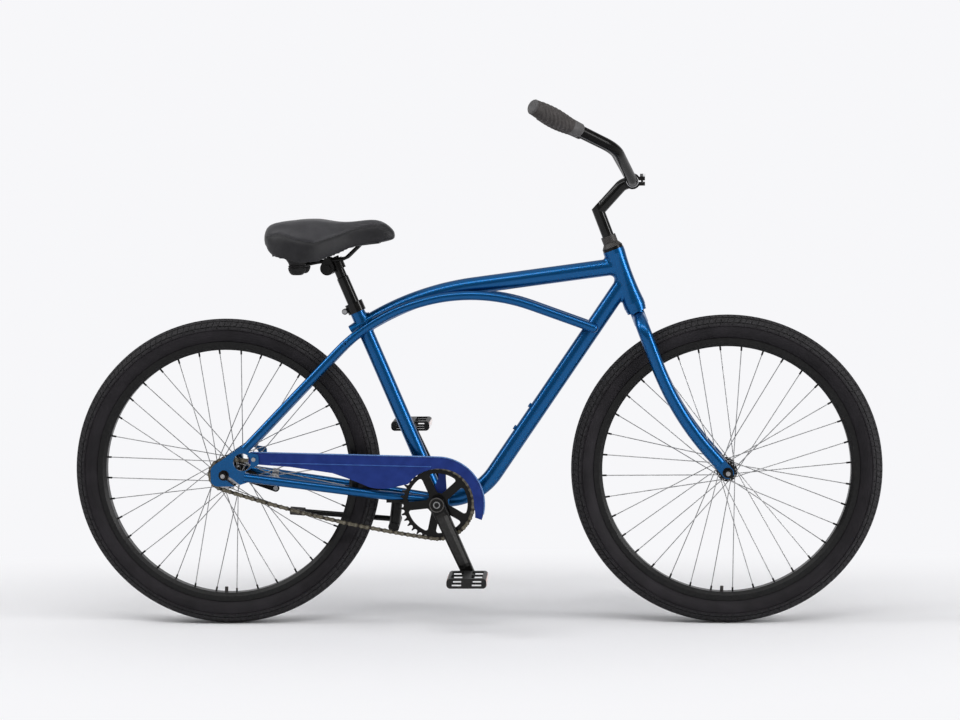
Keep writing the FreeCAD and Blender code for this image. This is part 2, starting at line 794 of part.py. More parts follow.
def dropout(side):
    """Plate that joins the two stays, with a round throat and a slot that opens forward and down."""
    slot_dir = heading(DROPOUT_SLOT_ANGLE)
    stay_half = STAY_DIA / 2
    beside = stay_half * math.sin(DROPOUT_STAY_SLOPE)
    over = stay_half * math.cos(DROPOUT_STAY_SLOPE)
    tab = (GUARD_TAB_AHEAD, GUARD_TAB_UP)
    tab_r = GUARD_TAB_DIA / 2
    foot_top = -CHAIN_STAY_END_DROP + CHAIN_STAY_DIA / 2
    foot_low = -CHAIN_STAY_END_DROP - CHAIN_STAY_DIA / 2
    wire = rounded(
        [
            (STAY_END_AHEAD - beside, STAY_END_UP + over),
            (STAY_END_AHEAD + beside, STAY_END_UP - over),
            (tab[0] + tab_r, tab[1] + tab_r),
            (tab[0] + tab_r, tab[1] - tab_r),
            (DROPOUT_THROAT_AHEAD, foot_top),
            (CHAIN_STAY_END_AHEAD + stay_half, foot_top),
            (CHAIN_STAY_END_AHEAD + stay_half, foot_low),
            (DROPOUT_LOW_AHEAD, -DROPOUT_LOW),
            (-DROPOUT_REAR, -DROPOUT_LOW),
            (-DROPOUT_REAR, DROPOUT_BACK_UP),
        ],
        [
            DROPOUT_CORNER, DROPOUT_CORNER, GUARD_TAB_ROUND, GUARD_TAB_INNER_ROUND, DROPOUT_CORNER,
            DROPOUT_CORNER, DROPOUT_CORNER, DROPOUT_LOW_ROUND, DROPOUT_HEEL_ROUND, DROPOUT_BACK_ROUND,
        ],
    )
    near = REAR_SPACING / 2 if side == LEFT else -REAR_SPACING / 2 - DROPOUT_THICKNESS
    sheet = plate(wire, near, DROPOUT_THICKNESS, REAR_AXLE)
    inside = near - OVERRUN
    outside = near + DROPOUT_THICKNESS + OVERRUN
    throat = REAR_AXLE + Vec(DROPOUT_THROAT_AHEAD, 0, DROPOUT_THROAT_UP)
    sheet = sheet.cut(across(throat, inside, outside, DROPOUT_THROAT_DIA / 2))
    slot_end = (slot_dir.x * 2 * DROPOUT_REAR, slot_dir.z * 2 * DROPOUT_REAR)
    slot_r = AXLE_DIA / 2 + GAP
    slot = plate(link_outline((0, 0), slot_r, slot_end, slot_r), inside, outside - inside, REAR_AXLE)
    bolt = REAR_AXLE + Vec(tab[0], 0, tab[1])
    return sheet.cut(slot).cut(across(bolt, inside, outside, GUARD_BOLT_DIA / 2))


def stay_bridge():
    """Short cross tube between the two seat stays, above the tyre."""
    bar = rod(bridge_point(LEFT), bridge_point(RIGHT), BRIDGE_DIA / 2)
    for side in (LEFT, RIGHT):
        path = stay_path(side)
        bar = bar.cut(bent_rod(path, stay_bends(path), STAY_DIA / 2))
    return bar


def collar_lug():
    behind = SEAT_TUBE_DIA / 2 + COLLAR_WALL + COLLAR_LUG_PROUD
    return on_seat(SEAT_TUBE_LENGTH - COLLAR_HEIGHT / 2, -behind)


def seat_clamp():
    """Split collar round the top of the seat tube, its lug and bolt at the back."""
    inner = SEAT_TUBE_DIA / 2
    outer = inner + COLLAR_WALL
    low = SEAT_TUBE_LENGTH - COLLAR_HEIGHT
    collar = rod(on_seat(low), on_seat(SEAT_TUBE_LENGTH), outer)
    middle = collar_lug()
    lug = across(middle, -COLLAR_LUG_WIDTH / 2, COLLAR_LUG_WIDTH / 2, COLLAR_LUG / 2)
    collar = collar.fuse(lug).cut(rod(on_seat(low - OVERRUN), on_seat(SEAT_TUBE_LENGTH + OVERRUN), inner))
    slot = Part.makeBox(2 * COLLAR_LUG + outer, COLLAR_SLOT, COLLAR_HEIGHT + 2 * OVERRUN)
    slot.translate(Vec(-2 * COLLAR_LUG - outer, -COLLAR_SLOT / 2, 0))
    slot.Placement = FreeCAD.Placement(
        on_seat(low - OVERRUN), FreeCAD.Rotation(Z_AXIS, SEAT_UP)
    ).multiply(slot.Placement)
    return collar.cut(slot).cut(across(middle, -COLLAR_LUG_WIDTH, COLLAR_LUG_WIDTH, COLLAR_BOLT_DIA / 2))


def seat_clamp_bolt():
    middle = collar_lug()
    half = COLLAR_LUG_WIDTH / 2
    head = COLLAR_BOLT_DIA
    shank = across(middle, -half - head, half + head, COLLAR_BOLT_DIA / 2)
    return union([shank, across(middle, -half - head, -half, head), across(middle, half, half + head, head)])


# Headset and fork

RACE_TOP = -CUP_LIP - GAP
RACE_LOW = RACE_TOP - CROWN_RACE_HEIGHT
COVER_LOW = HEAD_TUBE_LENGTH + CUP_LIP + GAP
STEERER_TOP = COVER_LOW + COVER_HEIGHT + LOCKNUT_HEIGHT


def headset_cups():
    """Two pressed cups that carry the steerer."""
    inner = STEERER_DIA / 2 + RUNNING_FIT
    lip = CUP_DIA / 2
    bore = HEAD_TUBE_BORE / 2
    wire = outline(
        (inner, -CUP_LIP), (lip, -CUP_LIP), (lip, 0), (bore, 0), (bore, CUP_DEPTH), (inner, CUP_DEPTH)
    )
    lower = turned(wire, on_head(0), HEAD_UP)
    upper = turned(wire, on_head(HEAD_TUBE_LENGTH), HEAD_UP * -1)
    return lower, upper


def fork_steerer():
    """Steerer tube with the crown race and the crown that the blades are welded to."""
    inner = QUILL_DIA / 2 + RUNNING_FIT
    crown = CROWN_DIA / 2
    race = CROWN_RACE_DIA / 2
    tube = STEERER_DIA / 2
    low = RACE_LOW - CROWN_DEPTH
    wire = outline(
        (inner, low),
        (crown, low),
        (crown, RACE_LOW),
        (race, RACE_LOW),
        (race, RACE_TOP),
        (tube, RACE_TOP),
        (tube, STEERER_TOP),
        (inner, STEERER_TOP),
    )
    return turned(wire, HEAD_BASE, HEAD_UP)


def headset_locknut():
    """Conical dust cover and locknut on the steerer."""
    inner = STEERER_DIA / 2
    outer = CUP_DIA / 2
    nut = LOCKNUT_DIA / 2
    neck = (inner + nut) / 2
    top = COVER_LOW + COVER_HEIGHT
    wire = outline(
        (inner, COVER_LOW),
        (outer, COVER_LOW),
        (neck, top),
        (nut, top),
        (nut, STEERER_TOP),
        (inner, STEERER_TOP),
    )
    return turned(wire, HEAD_BASE, HEAD_UP)


def fork_blade(side):
    """Blade that leaves the crown in a round shoulder and rakes forward to a flat end at the axle."""
    root = on_head(-BLADE_ROOT_DROP, 0, side * BLADE_ROOT_SIDE)
    shoulder = on_head(-BLADE_SHOULDER_DROP, 0, side * BLADE_SIDE)
    knee = on_head(FORK_OFFSET / math.tan(RAKE_TURN) - FORK_LENGTH, 0, side * BLADE_SIDE)
    axle = to_side(FRONT_AXLE, side * BLADE_SIDE)
    aim = (axle - knee).normalize()
    end = axle - aim * FORK_END_REACH
    path = [root, shoulder, knee, end]
    tube = bent_tube(path, [BLADE_SHOULDER_BEND, RAKE_BEND], BLADE_DIA, TUBE_WALL)
    cap = rod(end - aim * TUBE_WALL, end, BLADE_DIA / 2)
    back = -FORK_END_REACH - BLADE_DIA / 2
    near = FRONT_SPACING / 2 if side == LEFT else -FRONT_SPACING / 2 - FORK_END_THICKNESS
    eye = link_outline((aim.x * back, aim.z * back), BLADE_DIA / 2 - TUBE_WALL, (0, 0), FORK_END_DIA / 2)
    sheet = plate(eye, near, FORK_END_THICKNESS, FRONT_AXLE)
    slot_r = AXLE_DIA / 2 + GAP
    slot = plate(
        link_outline((0, 0), slot_r, (aim.x * FORK_END_DIA, aim.z * FORK_END_DIA), slot_r),
        near - OVERRUN,
        FORK_END_THICKNESS + 2 * OVERRUN,
        FRONT_AXLE,
    )
    blade = union([tube, cap, sheet]).cut(slot)
    return largest(blade.cut(rod(on_head(RACE_LOW - CROWN_DEPTH), on_head(RACE_LOW), CROWN_DIA / 2)))


# Stem and handlebar

ELBOW = on_head(ELBOW_UP)
BAR_CENTRE = on_head(ELBOW_UP + STEM_RISE, STEM_REACH)
STEM_KNEE = BAR_CENTRE - Vec(STEM_KNEE_BACK, 0, STEM_KNEE_DROP)


def stem():
    """Bent quill stem with a split clamp whose two ears face forward."""
    quill_end = on_head(STEERER_TOP - QUILL_INSERT)
    radius = QUILL_DIA / 2
    quill = rod(quill_end, ELBOW + HEAD_UP * 2 * QUILL_DIA, radius).cut(above_arm())
    arm = bent_rod([ELBOW, STEM_KNEE, BAR_CENTRE], [STEM_KNEE_BEND], radius)
    half = CLAMP_WIDTH / 2
    body = union([quill, arm, across(BAR_CENTRE, -half, half, CLAMP_DIA / 2)])
    ears = Part.makeBox(CLAMP_EAR, CLAMP_WIDTH, 2 * CLAMP_EAR_THICKNESS + CLAMP_SLOT)
    ears.translate(BAR_CENTRE + Vec(0, -half, -CLAMP_EAR_THICKNESS - CLAMP_SLOT / 2))
    body = body.fuse(ears)
    slot = Part.makeBox(CLAMP_EAR + OVERRUN, CLAMP_WIDTH + 2 * OVERRUN, CLAMP_SLOT)
    slot.translate(BAR_CENTRE + Vec(0, -half - OVERRUN, -CLAMP_SLOT / 2))
    body = body.cut(slot)
    body = body.cut(across(BAR_CENTRE, -half - OVERRUN, half + OVERRUN, BAR_DIA / 2 + RUNNING_FIT))
    for place in stem_bolt_places():
        body = body.cut(rod(place - Z_AXIS * CLAMP_EAR, place + Z_AXIS * CLAMP_EAR, STEM_BOLT_DIA / 2))
    body = body.cut(rod(quill_end - HEAD_UP * OVERRUN, ELBOW - HEAD_UP * QUILL_DIA, QUILL_BORE / 2))
    seat = ELBOW + HEAD_UP * EXPANDER_SEAT
    body = body.cut(rod(quill_end, seat, STEM_BOLT_DIA / 2))
    body = body.cut(rod(seat, seat + HEAD_UP * 2 * QUILL_DIA, STEM_BOLT_HEAD / 2 + GAP))
    return body.cut(wedge_cutter(quill_end))


def above_arm():
    """Half space over the arm's upper side, where the quill is cut off flush."""
    aim = (STEM_KNEE - ELBOW).normalize()
    normal = Vec(-aim.z, 0, aim.x)
    size = 4 * QUILL_DIA
    block = Part.makeBox(size, size, size)
    block.translate(Vec(-size / 2, -size / 2, 0))
    place = FreeCAD.Placement(ELBOW + normal * (QUILL_DIA / 2), FreeCAD.Rotation(Z_AXIS, normal))
    block.Placement = place.multiply(block.Placement)
    return block


def wedge_cutter(quill_end):
    """Half space below the slanted face where the quill meets its wedge."""
    size = 4 * QUILL_DIA
    block = Part.makeBox(size, size, size)
    block.translate(Vec(-size / 2, -size / 2, -size))
    turn = FreeCAD.Rotation(Y_AXIS, math.degrees(WEDGE_ANGLE))
    lean = FreeCAD.Rotation(Z_AXIS, HEAD_UP)
    start = quill_end + HEAD_UP * (QUILL_DIA / 2 * math.tan(WEDGE_ANGLE))
    block.Placement = FreeCAD.Placement(start, lean.multiply(turn)).multiply(block.Placement)
    return block


def stem_bolt_places():
    ahead = CLAMP_DIA / 2 + (CLAMP_EAR - CLAMP_DIA / 2) / 2
    side = CLAMP_WIDTH / 4
    return [BAR_CENTRE + Vec(ahead, offset, 0) for offset in (-side, side)]


def stem_bolts():
    """Two clamp bolts, the long expander bolt and the wedge that it draws up."""
    pieces = []
    reach = CLAMP_EAR_THICKNESS + CLAMP_SLOT / 2
    head = STEM_BOLT_HEAD / 2
    for place in stem_bolt_places():
        shank = rod(place - Z_AXIS * reach, place + Z_AXIS * reach, STEM_BOLT_DIA / 2)
        cap = rod(place + Z_AXIS * reach, place + Z_AXIS * (reach + STEM_BOLT_DIA), head)
        pieces.append(shank.fuse(cap))
    quill_end = on_head(STEERER_TOP - QUILL_INSERT)
    low = quill_end - HEAD_UP * WEDGE_LENGTH
    wedge = rod(low, quill_end + HEAD_UP * QUILL_DIA, QUILL_DIA / 2).common(wedge_cutter(quill_end))
    top = ELBOW + HEAD_UP * EXPANDER_SEAT
    shank = rod(low, top, STEM_BOLT_DIA / 2)
    cap = rod(top, top + HEAD_UP * STEM_BOLT_DIA, head)
    pieces.append(wedge.cut(shank))
    pieces.append(shank.fuse(cap))
    return pieces


def bar_path(side):
    """Half of the handlebar, from the clamp out to the grip end."""
    return [
        BAR_CENTRE,
        BAR_CENTRE + Vec(0, side * BAR_SHOULDER_SIDE, 0),
        BAR_CENTRE + Vec(-BAR_KNEE_BACK, side * BAR_KNEE_SIDE, BAR_KNEE_UP),
        BAR_CENTRE + Vec(-BAR_END_BACK, side * BAR_END_SIDE, BAR_END_UP),
    ]


def handlebar():
    path = bar_path(RIGHT)[:0:-1] + bar_path(LEFT)[1:]
    bends = [BAR_KNEE_BEND, BAR_SHOULDER_BEND, BAR_SHOULDER_BEND, BAR_KNEE_BEND]
    return bent_tube(path, bends, BAR_DIA, BAR_WALL)


def grip(side):
    """Rubber sleeve that swells for the palm, with a closed, bevelled end."""
    path = bar_path(side)
    inward = (path[2] - path[3]).normalize()
    bar = BAR_DIA / 2
    swell = (GRIP_DIA / 2, GRIP_LENGTH * GRIP_FAT_SHARE)
    wire = outline(
        (0, -GRIP_CAP),
        (GRIP_CAP_DIA / 2, -GRIP_CAP),
        (GRIP_END_DIA / 2, 0),
        (swell, (GRIP_NECK_DIA / 2, GRIP_LENGTH * GRIP_NECK_SHARE)),
        (GRIP_LIP_DIA / 2, GRIP_LENGTH),
        (bar, GRIP_LENGTH),
        (bar, 0),
        (0, 0),
    )
    return turned(wire, path[3], inward)


# Wheels

BEAD_SEAT_R = BEAD_SEAT_DIA / 2
HOOK_R = BEAD_SEAT_R + RIM_HOOK + GAP
BEAD_HALF = RIM_WIDTH / 2 - RIM_HOOK_WALL
CAVITY_HALF = BEAD_HALF - BEAD_WALL
CAVITY_HEIGHT = AXLE_Z - TYRE_CROWN - HOOK_R
CAVITY_R = (CAVITY_HALF ** 2 + CAVITY_HEIGHT ** 2) / (2 * CAVITY_HEIGHT)
CAVITY_CENTRE_R = HOOK_R + CAVITY_HEIGHT - CAVITY_R


def tyre(centre):
    """Balloon tyre: round sidewalls, a stepped shoulder and a wide crown, hollow over the rim."""
    half = TYRE_WIDTH / 2
    middle = BEAD_SEAT_R + TYRE_HEIGHT / 2
    shoulder = AXLE_Z - TREAD_DROP
    wire = outline(
        (BEAD_SEAT_R, -BEAD_HALF),
        (HOOK_R, -BEAD_HALF),
        ((middle, -half), (shoulder - TREAD_STEP, -TREAD_HALF + TREAD_STEP / 2)),
        (shoulder, -TREAD_HALF),
        ((AXLE_Z, 0), (shoulder, TREAD_HALF)),
        (shoulder - TREAD_STEP, TREAD_HALF - TREAD_STEP / 2),
        ((middle, half), (HOOK_R, BEAD_HALF)),
        (BEAD_SEAT_R, BEAD_HALF),
        (BEAD_SEAT_R, CAVITY_HALF),
        (HOOK_R, CAVITY_HALF),
        ((AXLE_Z - TYRE_CROWN, 0), (HOOK_R, -CAVITY_HALF)),
        (BEAD_SEAT_R, -CAVITY_HALF),
    )
    return turned(wire, centre, Y_AXIS)


VALVE_AIM = heading(SPOKE_PHASE - math.pi / 2 - math.pi / SPOKES)


def inner_tube(centre):
    """Inflated tube with the valve stem that comes out through the rim."""
    radius = CAVITY_R - GAP
    tube = Part.makeTorus(CAVITY_CENTRE_R, radius, centre, Y_AXIS)
    tip = centre + VALVE_AIM * (RIM_INNER_R - VALVE_LENGTH)
    valve = rod(tip, centre + VALVE_AIM * CAVITY_CENTRE_R, VALVE_DIA / 2 - GAP)
    return tube.fuse(valve).cut(Part.makeTorus(CAVITY_CENTRE_R, radius - TUBE_SKIN, centre, Y_AXIS))


def spoke_parts(centre, hole_circle, flange_side, index):
    """Points of one spoke: at the hub, at the rim and at the far face of the flange."""
    side = LEFT if index % 2 == 0 else RIGHT
    turn = SPOKE_TURN if index // 2 % 2 == 0 else -SPOKE_TURN
    outside = LEFT if turn > 0 else RIGHT
    lift = outside * (FLANGE_THICKNESS + SPOKE_DIA) / 2
    angle = SPOKE_PHASE + 2 * math.pi * index / SPOKES
    at_rim = heading(angle)
    at_hub = heading(angle - turn)
    hub_point = centre + at_hub * (hole_circle / 2) + Y_AXIS * side * (flange_side + lift)
    rim_point = centre + at_rim * RIM_INNER_R + Y_AXIS * side * SPOKE_RIM_SIDE
    far_point = centre + at_hub * (hole_circle / 2) + Y_AXIS * side * (flange_side - lift)
    return hub_point, rim_point, far_point


def spoke(centre, hole_circle, flange_side, index):
    hub_point, rim_point, far_point = spoke_parts(centre, hole_circle, flange_side, index)
    aim = (rim_point - hub_point).normalize()
    through = (far_point - hub_point).normalize()
    wire = SPOKE_DIA / 2
    nipple_low = rim_point - aim * NIPPLE_PROUD
    return union([
        rod(hub_point, nipple_low, wire),
        Part.makeSphere(wire, hub_point),
        rod(hub_point, far_point, wire),
        rod(far_point - through * wire, far_point, SPOKE_HEAD / 2),
        rod(nipple_low, nipple_low + aim * NIPPLE_LENGTH, NIPPLE_DIA / 2),
    ])


def spokes(centre, hole_circle, flange_side):
    return [spoke(centre, hole_circle, flange_side, i) for i in range(SPOKES)]


def rim(centre, hole_circle, flange_side):
    half = RIM_WIDTH / 2
    inside = BEAD_HALF
    hook = BEAD_SEAT_R + RIM_HOOK
    side = BEAD_SEAT_R - RIM_SIDE_DROP
    well = BEAD_SEAT_R - RIM_WELL
    wire = outline(
        (RIM_INNER_R, -RIM_INNER_HALF),
        (RIM_INNER_R, RIM_INNER_HALF),
        (side, half),
        (hook, half),
        (hook, inside),
        (BEAD_SEAT_R, inside),
        (well, RIM_WELL_HALF),
        (well, -RIM_WELL_HALF),
        (BEAD_SEAT_R, -inside),
        (hook, -inside),
        (hook, -half),
        (side, -half),
    )
    holes = []
    for i in range(SPOKES):
        hub_point, rim_point, far_point = spoke_parts(centre, hole_circle, flange_side, i)
        aim = (rim_point - hub_point).normalize()
        holes.append(rod(rim_point - aim * NIPPLE_DIA, rim_point + aim * NIPPLE_LENGTH, NIPPLE_DIA / 2))
    valve_start = centre + VALVE_AIM * (RIM_INNER_R - OVERRUN)
    holes.append(rod(valve_start, centre + VALVE_AIM * hook, VALVE_DIA / 2))
    return turned(wire, centre, Y_AXIS).cut(Part.makeCompound(holes))


def hub(centre, width, flange_side, flange_dia, hole_circle, barrel_dia, cap_dia):
    """Hub shell: two drilled flanges on a waisted barrel, bored for the axle."""
    half = width / 2
    bore = AXLE_DIA / 2 + RUNNING_FIT
    flange = flange_dia / 2
    barrel = barrel_dia / 2
    cap = cap_dia / 2
    outer = flange_side + FLANGE_THICKNESS / 2
    inner = flange_side - FLANGE_THICKNESS / 2
    slope = (flange - barrel) * HUB_SLOPE_SHARE
    wire = outline(
        (bore, -half),
        (cap, -half),
        (cap, -outer),
        (flange, -outer),
        (flange, -inner),
        (barrel + slope, -inner),
        ((barrel, 0), (barrel + slope, inner)),
        (flange, inner),
        (flange, outer),
        (cap, outer),
        (cap, half),
        (bore, half),
    )
    holes = []
    grooves = []
    for i in range(SPOKES):
        hub_point, rim_point, far_point = spoke_parts(centre, hole_circle, flange_side, i)
        aim = (rim_point - hub_point).normalize()
        holes.append(rod(hub_point, far_point, SPOKE_DIA / 2))
        if abs(hub_point.y) > abs(far_point.y):
            grooves.append(rod(hub_point, hub_point + aim * flange, SPOKE_DIA / 2))
    shell = turned(wire, centre, Y_AXIS).cut(Part.makeCompound(holes))
    return shell.cut(Part.makeCompound(grooves))


def axle_nuts(centre, face):
    """Washer and nut on both ends of an axle, outside the plates that carry it."""
    pieces = []
    for side in (LEFT, RIGHT):
        start = to_side(centre, side * face)
        out = Y_AXIS * side
        bore = AXLE_DIA / 2
        pieces.append(ring(start, out, WASHER_DIA / 2, bore, WASHER_THICKNESS))
        nut_start = start + out * WASHER_THICKNESS
        nut = hexagon(nut_start, out, NUT_FLATS, NUT_HEIGHT)
        pieces.append(nut.cut(rod(start, nut_start + out * (NUT_HEIGHT + OVERRUN), bore)))
    return pieces


def front_axle():
    reach = FRONT_SPACING / 2 + FORK_END_THICKNESS + AXLE_PROUD
    start = FRONT_HUB_WIDTH / 2 + GAP
    pieces = [across(FRONT_AXLE, -reach, reach, AXLE_DIA / 2)]
    for side in (LEFT, RIGHT):
        pieces.append(across(FRONT_AXLE, side * start, side * FRONT_SPACING / 2, CONE_DIA / 2))
    return union(pieces)


BRAKE_ARM_SIDE = REAR_HUB_WIDTH / 2 + GAP + BRAKE_CONE_WIDTH


def rear_axle():
    """Axle with the drive side cone and, on the left, the fixed brake cone."""
    reach = REAR_SPACING / 2 + DROPOUT_THICKNESS + AXLE_PROUD
    hub_end = REAR_HUB_WIDTH / 2 + GAP
    return union([
        across(REAR_AXLE, -reach, reach, AXLE_DIA / 2),
        across(REAR_AXLE, -DRIVER_END - GAP, -REAR_SPACING / 2, CONE_DIA / 2),
        across(REAR_AXLE, hub_end, BRAKE_ARM_SIDE, BRAKE_CONE_DIA / 2),
        across(REAR_AXLE, BRAKE_ARM_SIDE, REAR_SPACING / 2, CONE_DIA / 2),
    ])


def coaster_brake_arm():
    """Flat arm that passes the braking force to the left chain stay."""
    end = (BRAKE_ARM_AHEAD, -BRAKE_ARM_DROP)
    wire = link_outline((0, 0), BRAKE_ARM_HUB_DIA / 2, end, BRAKE_ARM_END_DIA / 2)
    arm = plate(wire, BRAKE_ARM_SIDE, BRAKE_ARM_THICKNESS, REAR_AXLE)
    arm = arm.cut(across(REAR_AXLE, 0, REAR_SPACING, CONE_DIA / 2))
    return arm.cut(across(REAR_AXLE + flat(end), 0, REAR_SPACING, CLIP_BOLT_DIA / 2))


def brake_arm_clip():
    """Strap round the left chain stay, with a tongue bolted to the brake arm."""
    path = chain_stay_path(LEFT)
    aim = (path[1] - path[0]).normalize()
    along = (BRAKE_ARM_AHEAD - CHAIN_STAY_END_AHEAD) / aim.x
    middle = path[0] + aim * along
    inner = CHAIN_STAY_DIA / 2
    strap = ring(middle - aim * CLIP_WIDTH / 2, aim, inner + CLIP_THICKNESS, inner, CLIP_WIDTH)
    end = REAR_AXLE + Vec(BRAKE_ARM_AHEAD, 0, -BRAKE_ARM_DROP)
    near = BRAKE_ARM_SIDE + BRAKE_ARM_THICKNESS
    lift = (middle.x - end.x, middle.z - end.z)
    wire = link_outline((0, 0), CLIP_WIDTH / 2, lift, CLIP_WIDTH / 2)
    tongue = plate(wire, near, CLIP_THICKNESS, end).cut(rod(path[0], path[1], inner))
    strap = strap.fuse(tongue).cut(across(end, 0, REAR_SPACING, CLIP_BOLT_DIA / 2))
    return largest(strap)


def brake_clip_bolt():
    end = REAR_AXLE + Vec(BRAKE_ARM_AHEAD, 0, -BRAKE_ARM_DROP)
    near = BRAKE_ARM_SIDE
    far = near + BRAKE_ARM_THICKNESS + CLIP_THICKNESS
    head = CLIP_BOLT_DIA / 2
    return union([
        across(end, near - head, far + head, head),
        across(end, near - head, near, 2 * head),
        across(end, far, far + head, 2 * head),
    ])


# Crank set

RING_SIDE = -CHAIN_LINE
CRANK_OUTER_SIDE = CRANK_INNER_SIDE + CRANK_THICKNESS
BOLT_SEAT = CRANK_OUTER_SIDE + CRANK_BOSS_PROUD - CRANK_BOLT_HEAD


def bb_cup(side, face):
    inner = SPINDLE_DIA / 2 + RUNNING_FIT
    body = BB_SHELL_BORE / 2
    flange = CUP_FLANGE_DIA / 2
    wire = outline(
        (inner, -CUP_BODY),
        (body, -CUP_BODY),
        (body, 0),
        (flange, 0),
        (flange, CUP_FLANGE),
        (inner, CUP_FLANGE),
    )
    return turned(wire, to_side(BB, side * face), Y_AXIS * side)


def bb_cups():
    """Bearing cups of the bottom bracket; the drive side one also clamps the guard's bracket."""
    half = BB_SHELL_WIDTH / 2
    return bb_cup(LEFT, half), bb_cup(RIGHT, half + BRACKET_THICKNESS)


def crank_spindle():
    return across(BB, -BOLT_SEAT, BOLT_SEAT, SPINDLE_DIA / 2)


def toothed_wire(teeth, phase):
    """Outline of a sprocket about its centre: round roller seats and trapezoid teeth."""
    pitch_r = chain_radius(teeth)
    seat_r = ROLLER_DIA / 2 + SEAT_CLEARANCE
    tip_r = pitch_r + TOOTH_TIP
    tip_half = TOOTH_TIP_WIDTH / 2 / tip_r

    def polar(radius, angle):
        return (radius * math.cos(angle), radius * math.sin(angle))

    def on_seat_arc(angle, turn):
        x, z = polar(pitch_r, angle)
        dx, dz = polar(seat_r, angle + turn)
        return (x + dx, z + dz)

    step = 2 * math.pi / teeth
    points = []
    for i in range(teeth):
        angle = phase + i * step
        if i:
            points.append(on_seat_arc(angle, math.pi + SEAT_SPREAD))
        points.append((on_seat_arc(angle, math.pi), on_seat_arc(angle, math.pi - SEAT_SPREAD)))
        points.append(polar(tip_r, angle + step / 2 - tip_half))
        points.append(polar(tip_r, angle + step / 2 + tip_half))
    return outline(on_seat_arc(phase, math.pi + SEAT_SPREAD), *points)


def toothed_plate(centre, teeth, phase):
    near = RING_SIDE - TOOTH_THICKNESS / 2
    return plate(toothed_wire(teeth, phase), near, TOOTH_THICKNESS, centre)


# The chain's loop: the upper run forward, round the ring, the lower run back, round the sprocket.
CHAIN_LEAN, RING_LEAVE, SPROCKET_MEET, SAG_R = chain_runs(CENTRES)
UPPER_LINKS, RING_LINKS, LOWER_LINKS = chain_lengths(CENTRES)[:3]
CHAIN_AIM = math.atan2(BB.z - REAR_AXLE.z, BB.x - REAR_AXLE.x)
UPPER_TURN = CHAIN_AIM + math.pi / 2 + CHAIN_LEAN
SAG_CENTRE = BB - heading(CHAIN_AIM + RING_LEAVE) * (SAG_R - RING_PITCH_R)


def chain_point(link):
    """Centre of a pin, by its place along the loop counted in links."""
    link = link % CHAIN_LINKS
    if link <= UPPER_LINKS:
        start = REAR_AXLE + heading(UPPER_TURN) * SPROCKET_PITCH_R
        return start + (BB + heading(UPPER_TURN) * RING_PITCH_R - start) * (link / UPPER_LINKS)
    link -= UPPER_LINKS
    if link <= RING_LINKS:
        return BB + heading(UPPER_TURN - link * 2 * math.pi / RING_TEETH) * RING_PITCH_R
    link -= RING_LINKS
    if link <= LOWER_LINKS:
        return SAG_CENTRE + heading(CHAIN_AIM + RING_LEAVE - link * CHAIN_PITCH / SAG_R) * SAG_R
    link -= LOWER_LINKS
    turn = CHAIN_AIM + SPROCKET_MEET - link * 2 * math.pi / SPROCKET_TEETH
    return REAR_AXLE + heading(turn) * SPROCKET_PITCH_R


RING_PHASE = UPPER_TURN + UPPER_LINKS * 2 * math.pi / RING_TEETH
SPROCKET_PHASE = UPPER_TURN


def bar_wire(angle, length, width):
    """Rectangle from the centre outward, its long side at an angle."""
    along = heading(angle)
    side = heading(angle + math.pi / 2) * (width / 2)
    far = along * length
    return outline(
        (side.x, side.z),
        (far.x + side.x, far.z + side.z),
        (far.x - side.x, far.z - side.z),
        (-side.x, -side.z),
    )


def edges_along_y(solid):
    """Straight edges that run across the part."""
    found = []
    for edge in solid.Edges:
        ends = [vertex.Point for vertex in edge.Vertexes]
        if len(ends) == 2 and math.hypot(ends[0].x - ends[1].x, ends[0].z - ends[1].z) < RUNNING_FIT:
            found.append(edge)
    return found


def chainring():
    """Five armed chainring on the boss of the right crank."""
    band = RING_PITCH_R - ROLLER_DIA / 2 - RING_BAND
    half = TOOTH_THICKNESS / 2
    deep = half + OVERRUN
    hub_r = RING_HUB_DIA / 2
    wire = outline((hub_r, -deep), (band, -deep), (band, deep), (hub_r, deep))
    windows = turned(wire, to_side(BB, RING_SIDE), Y_AXIS)
    for i in range(RING_ARMS):
        angle = CRANK_ANGLE + math.pi + 2 * math.pi * i / RING_ARMS
        arm = plate(bar_wire(angle, band + OVERRUN, RING_ARM_WIDTH), RING_SIDE - deep, 2 * deep, BB)
        windows = windows.cut(arm)
    disc = toothed_plate(BB, RING_TEETH, RING_PHASE)
    for window in windows.Solids:
        disc = disc.cut(window.makeFillet(RING_CORNER, edges_along_y(window)))
    return disc.cut(across(BB, RING_SIDE - deep, RING_SIDE + deep, CRANK_BOSS_DIA / 2))


def rear_sprocket():
    """Sprocket with the driver body that turns on the rear axle."""
    start = -REAR_HUB_WIDTH / 2 - GAP
    driver = across(REAR_AXLE, start, -DRIVER_END, DRIVER_DIA / 2)
    disc = toothed_plate(REAR_AXLE, SPROCKET_TEETH, SPROCKET_PHASE)
    bore = across(REAR_AXLE, 0, -REAR_SPACING, AXLE_DIA / 2 + RUNNING_FIT)
    return union([driver, disc]).cut(bore)


def crank_end(side):
    angle = CRANK_ANGLE if side == RIGHT else CRANK_ANGLE + math.pi
    return heading(angle) * CRANK_LENGTH


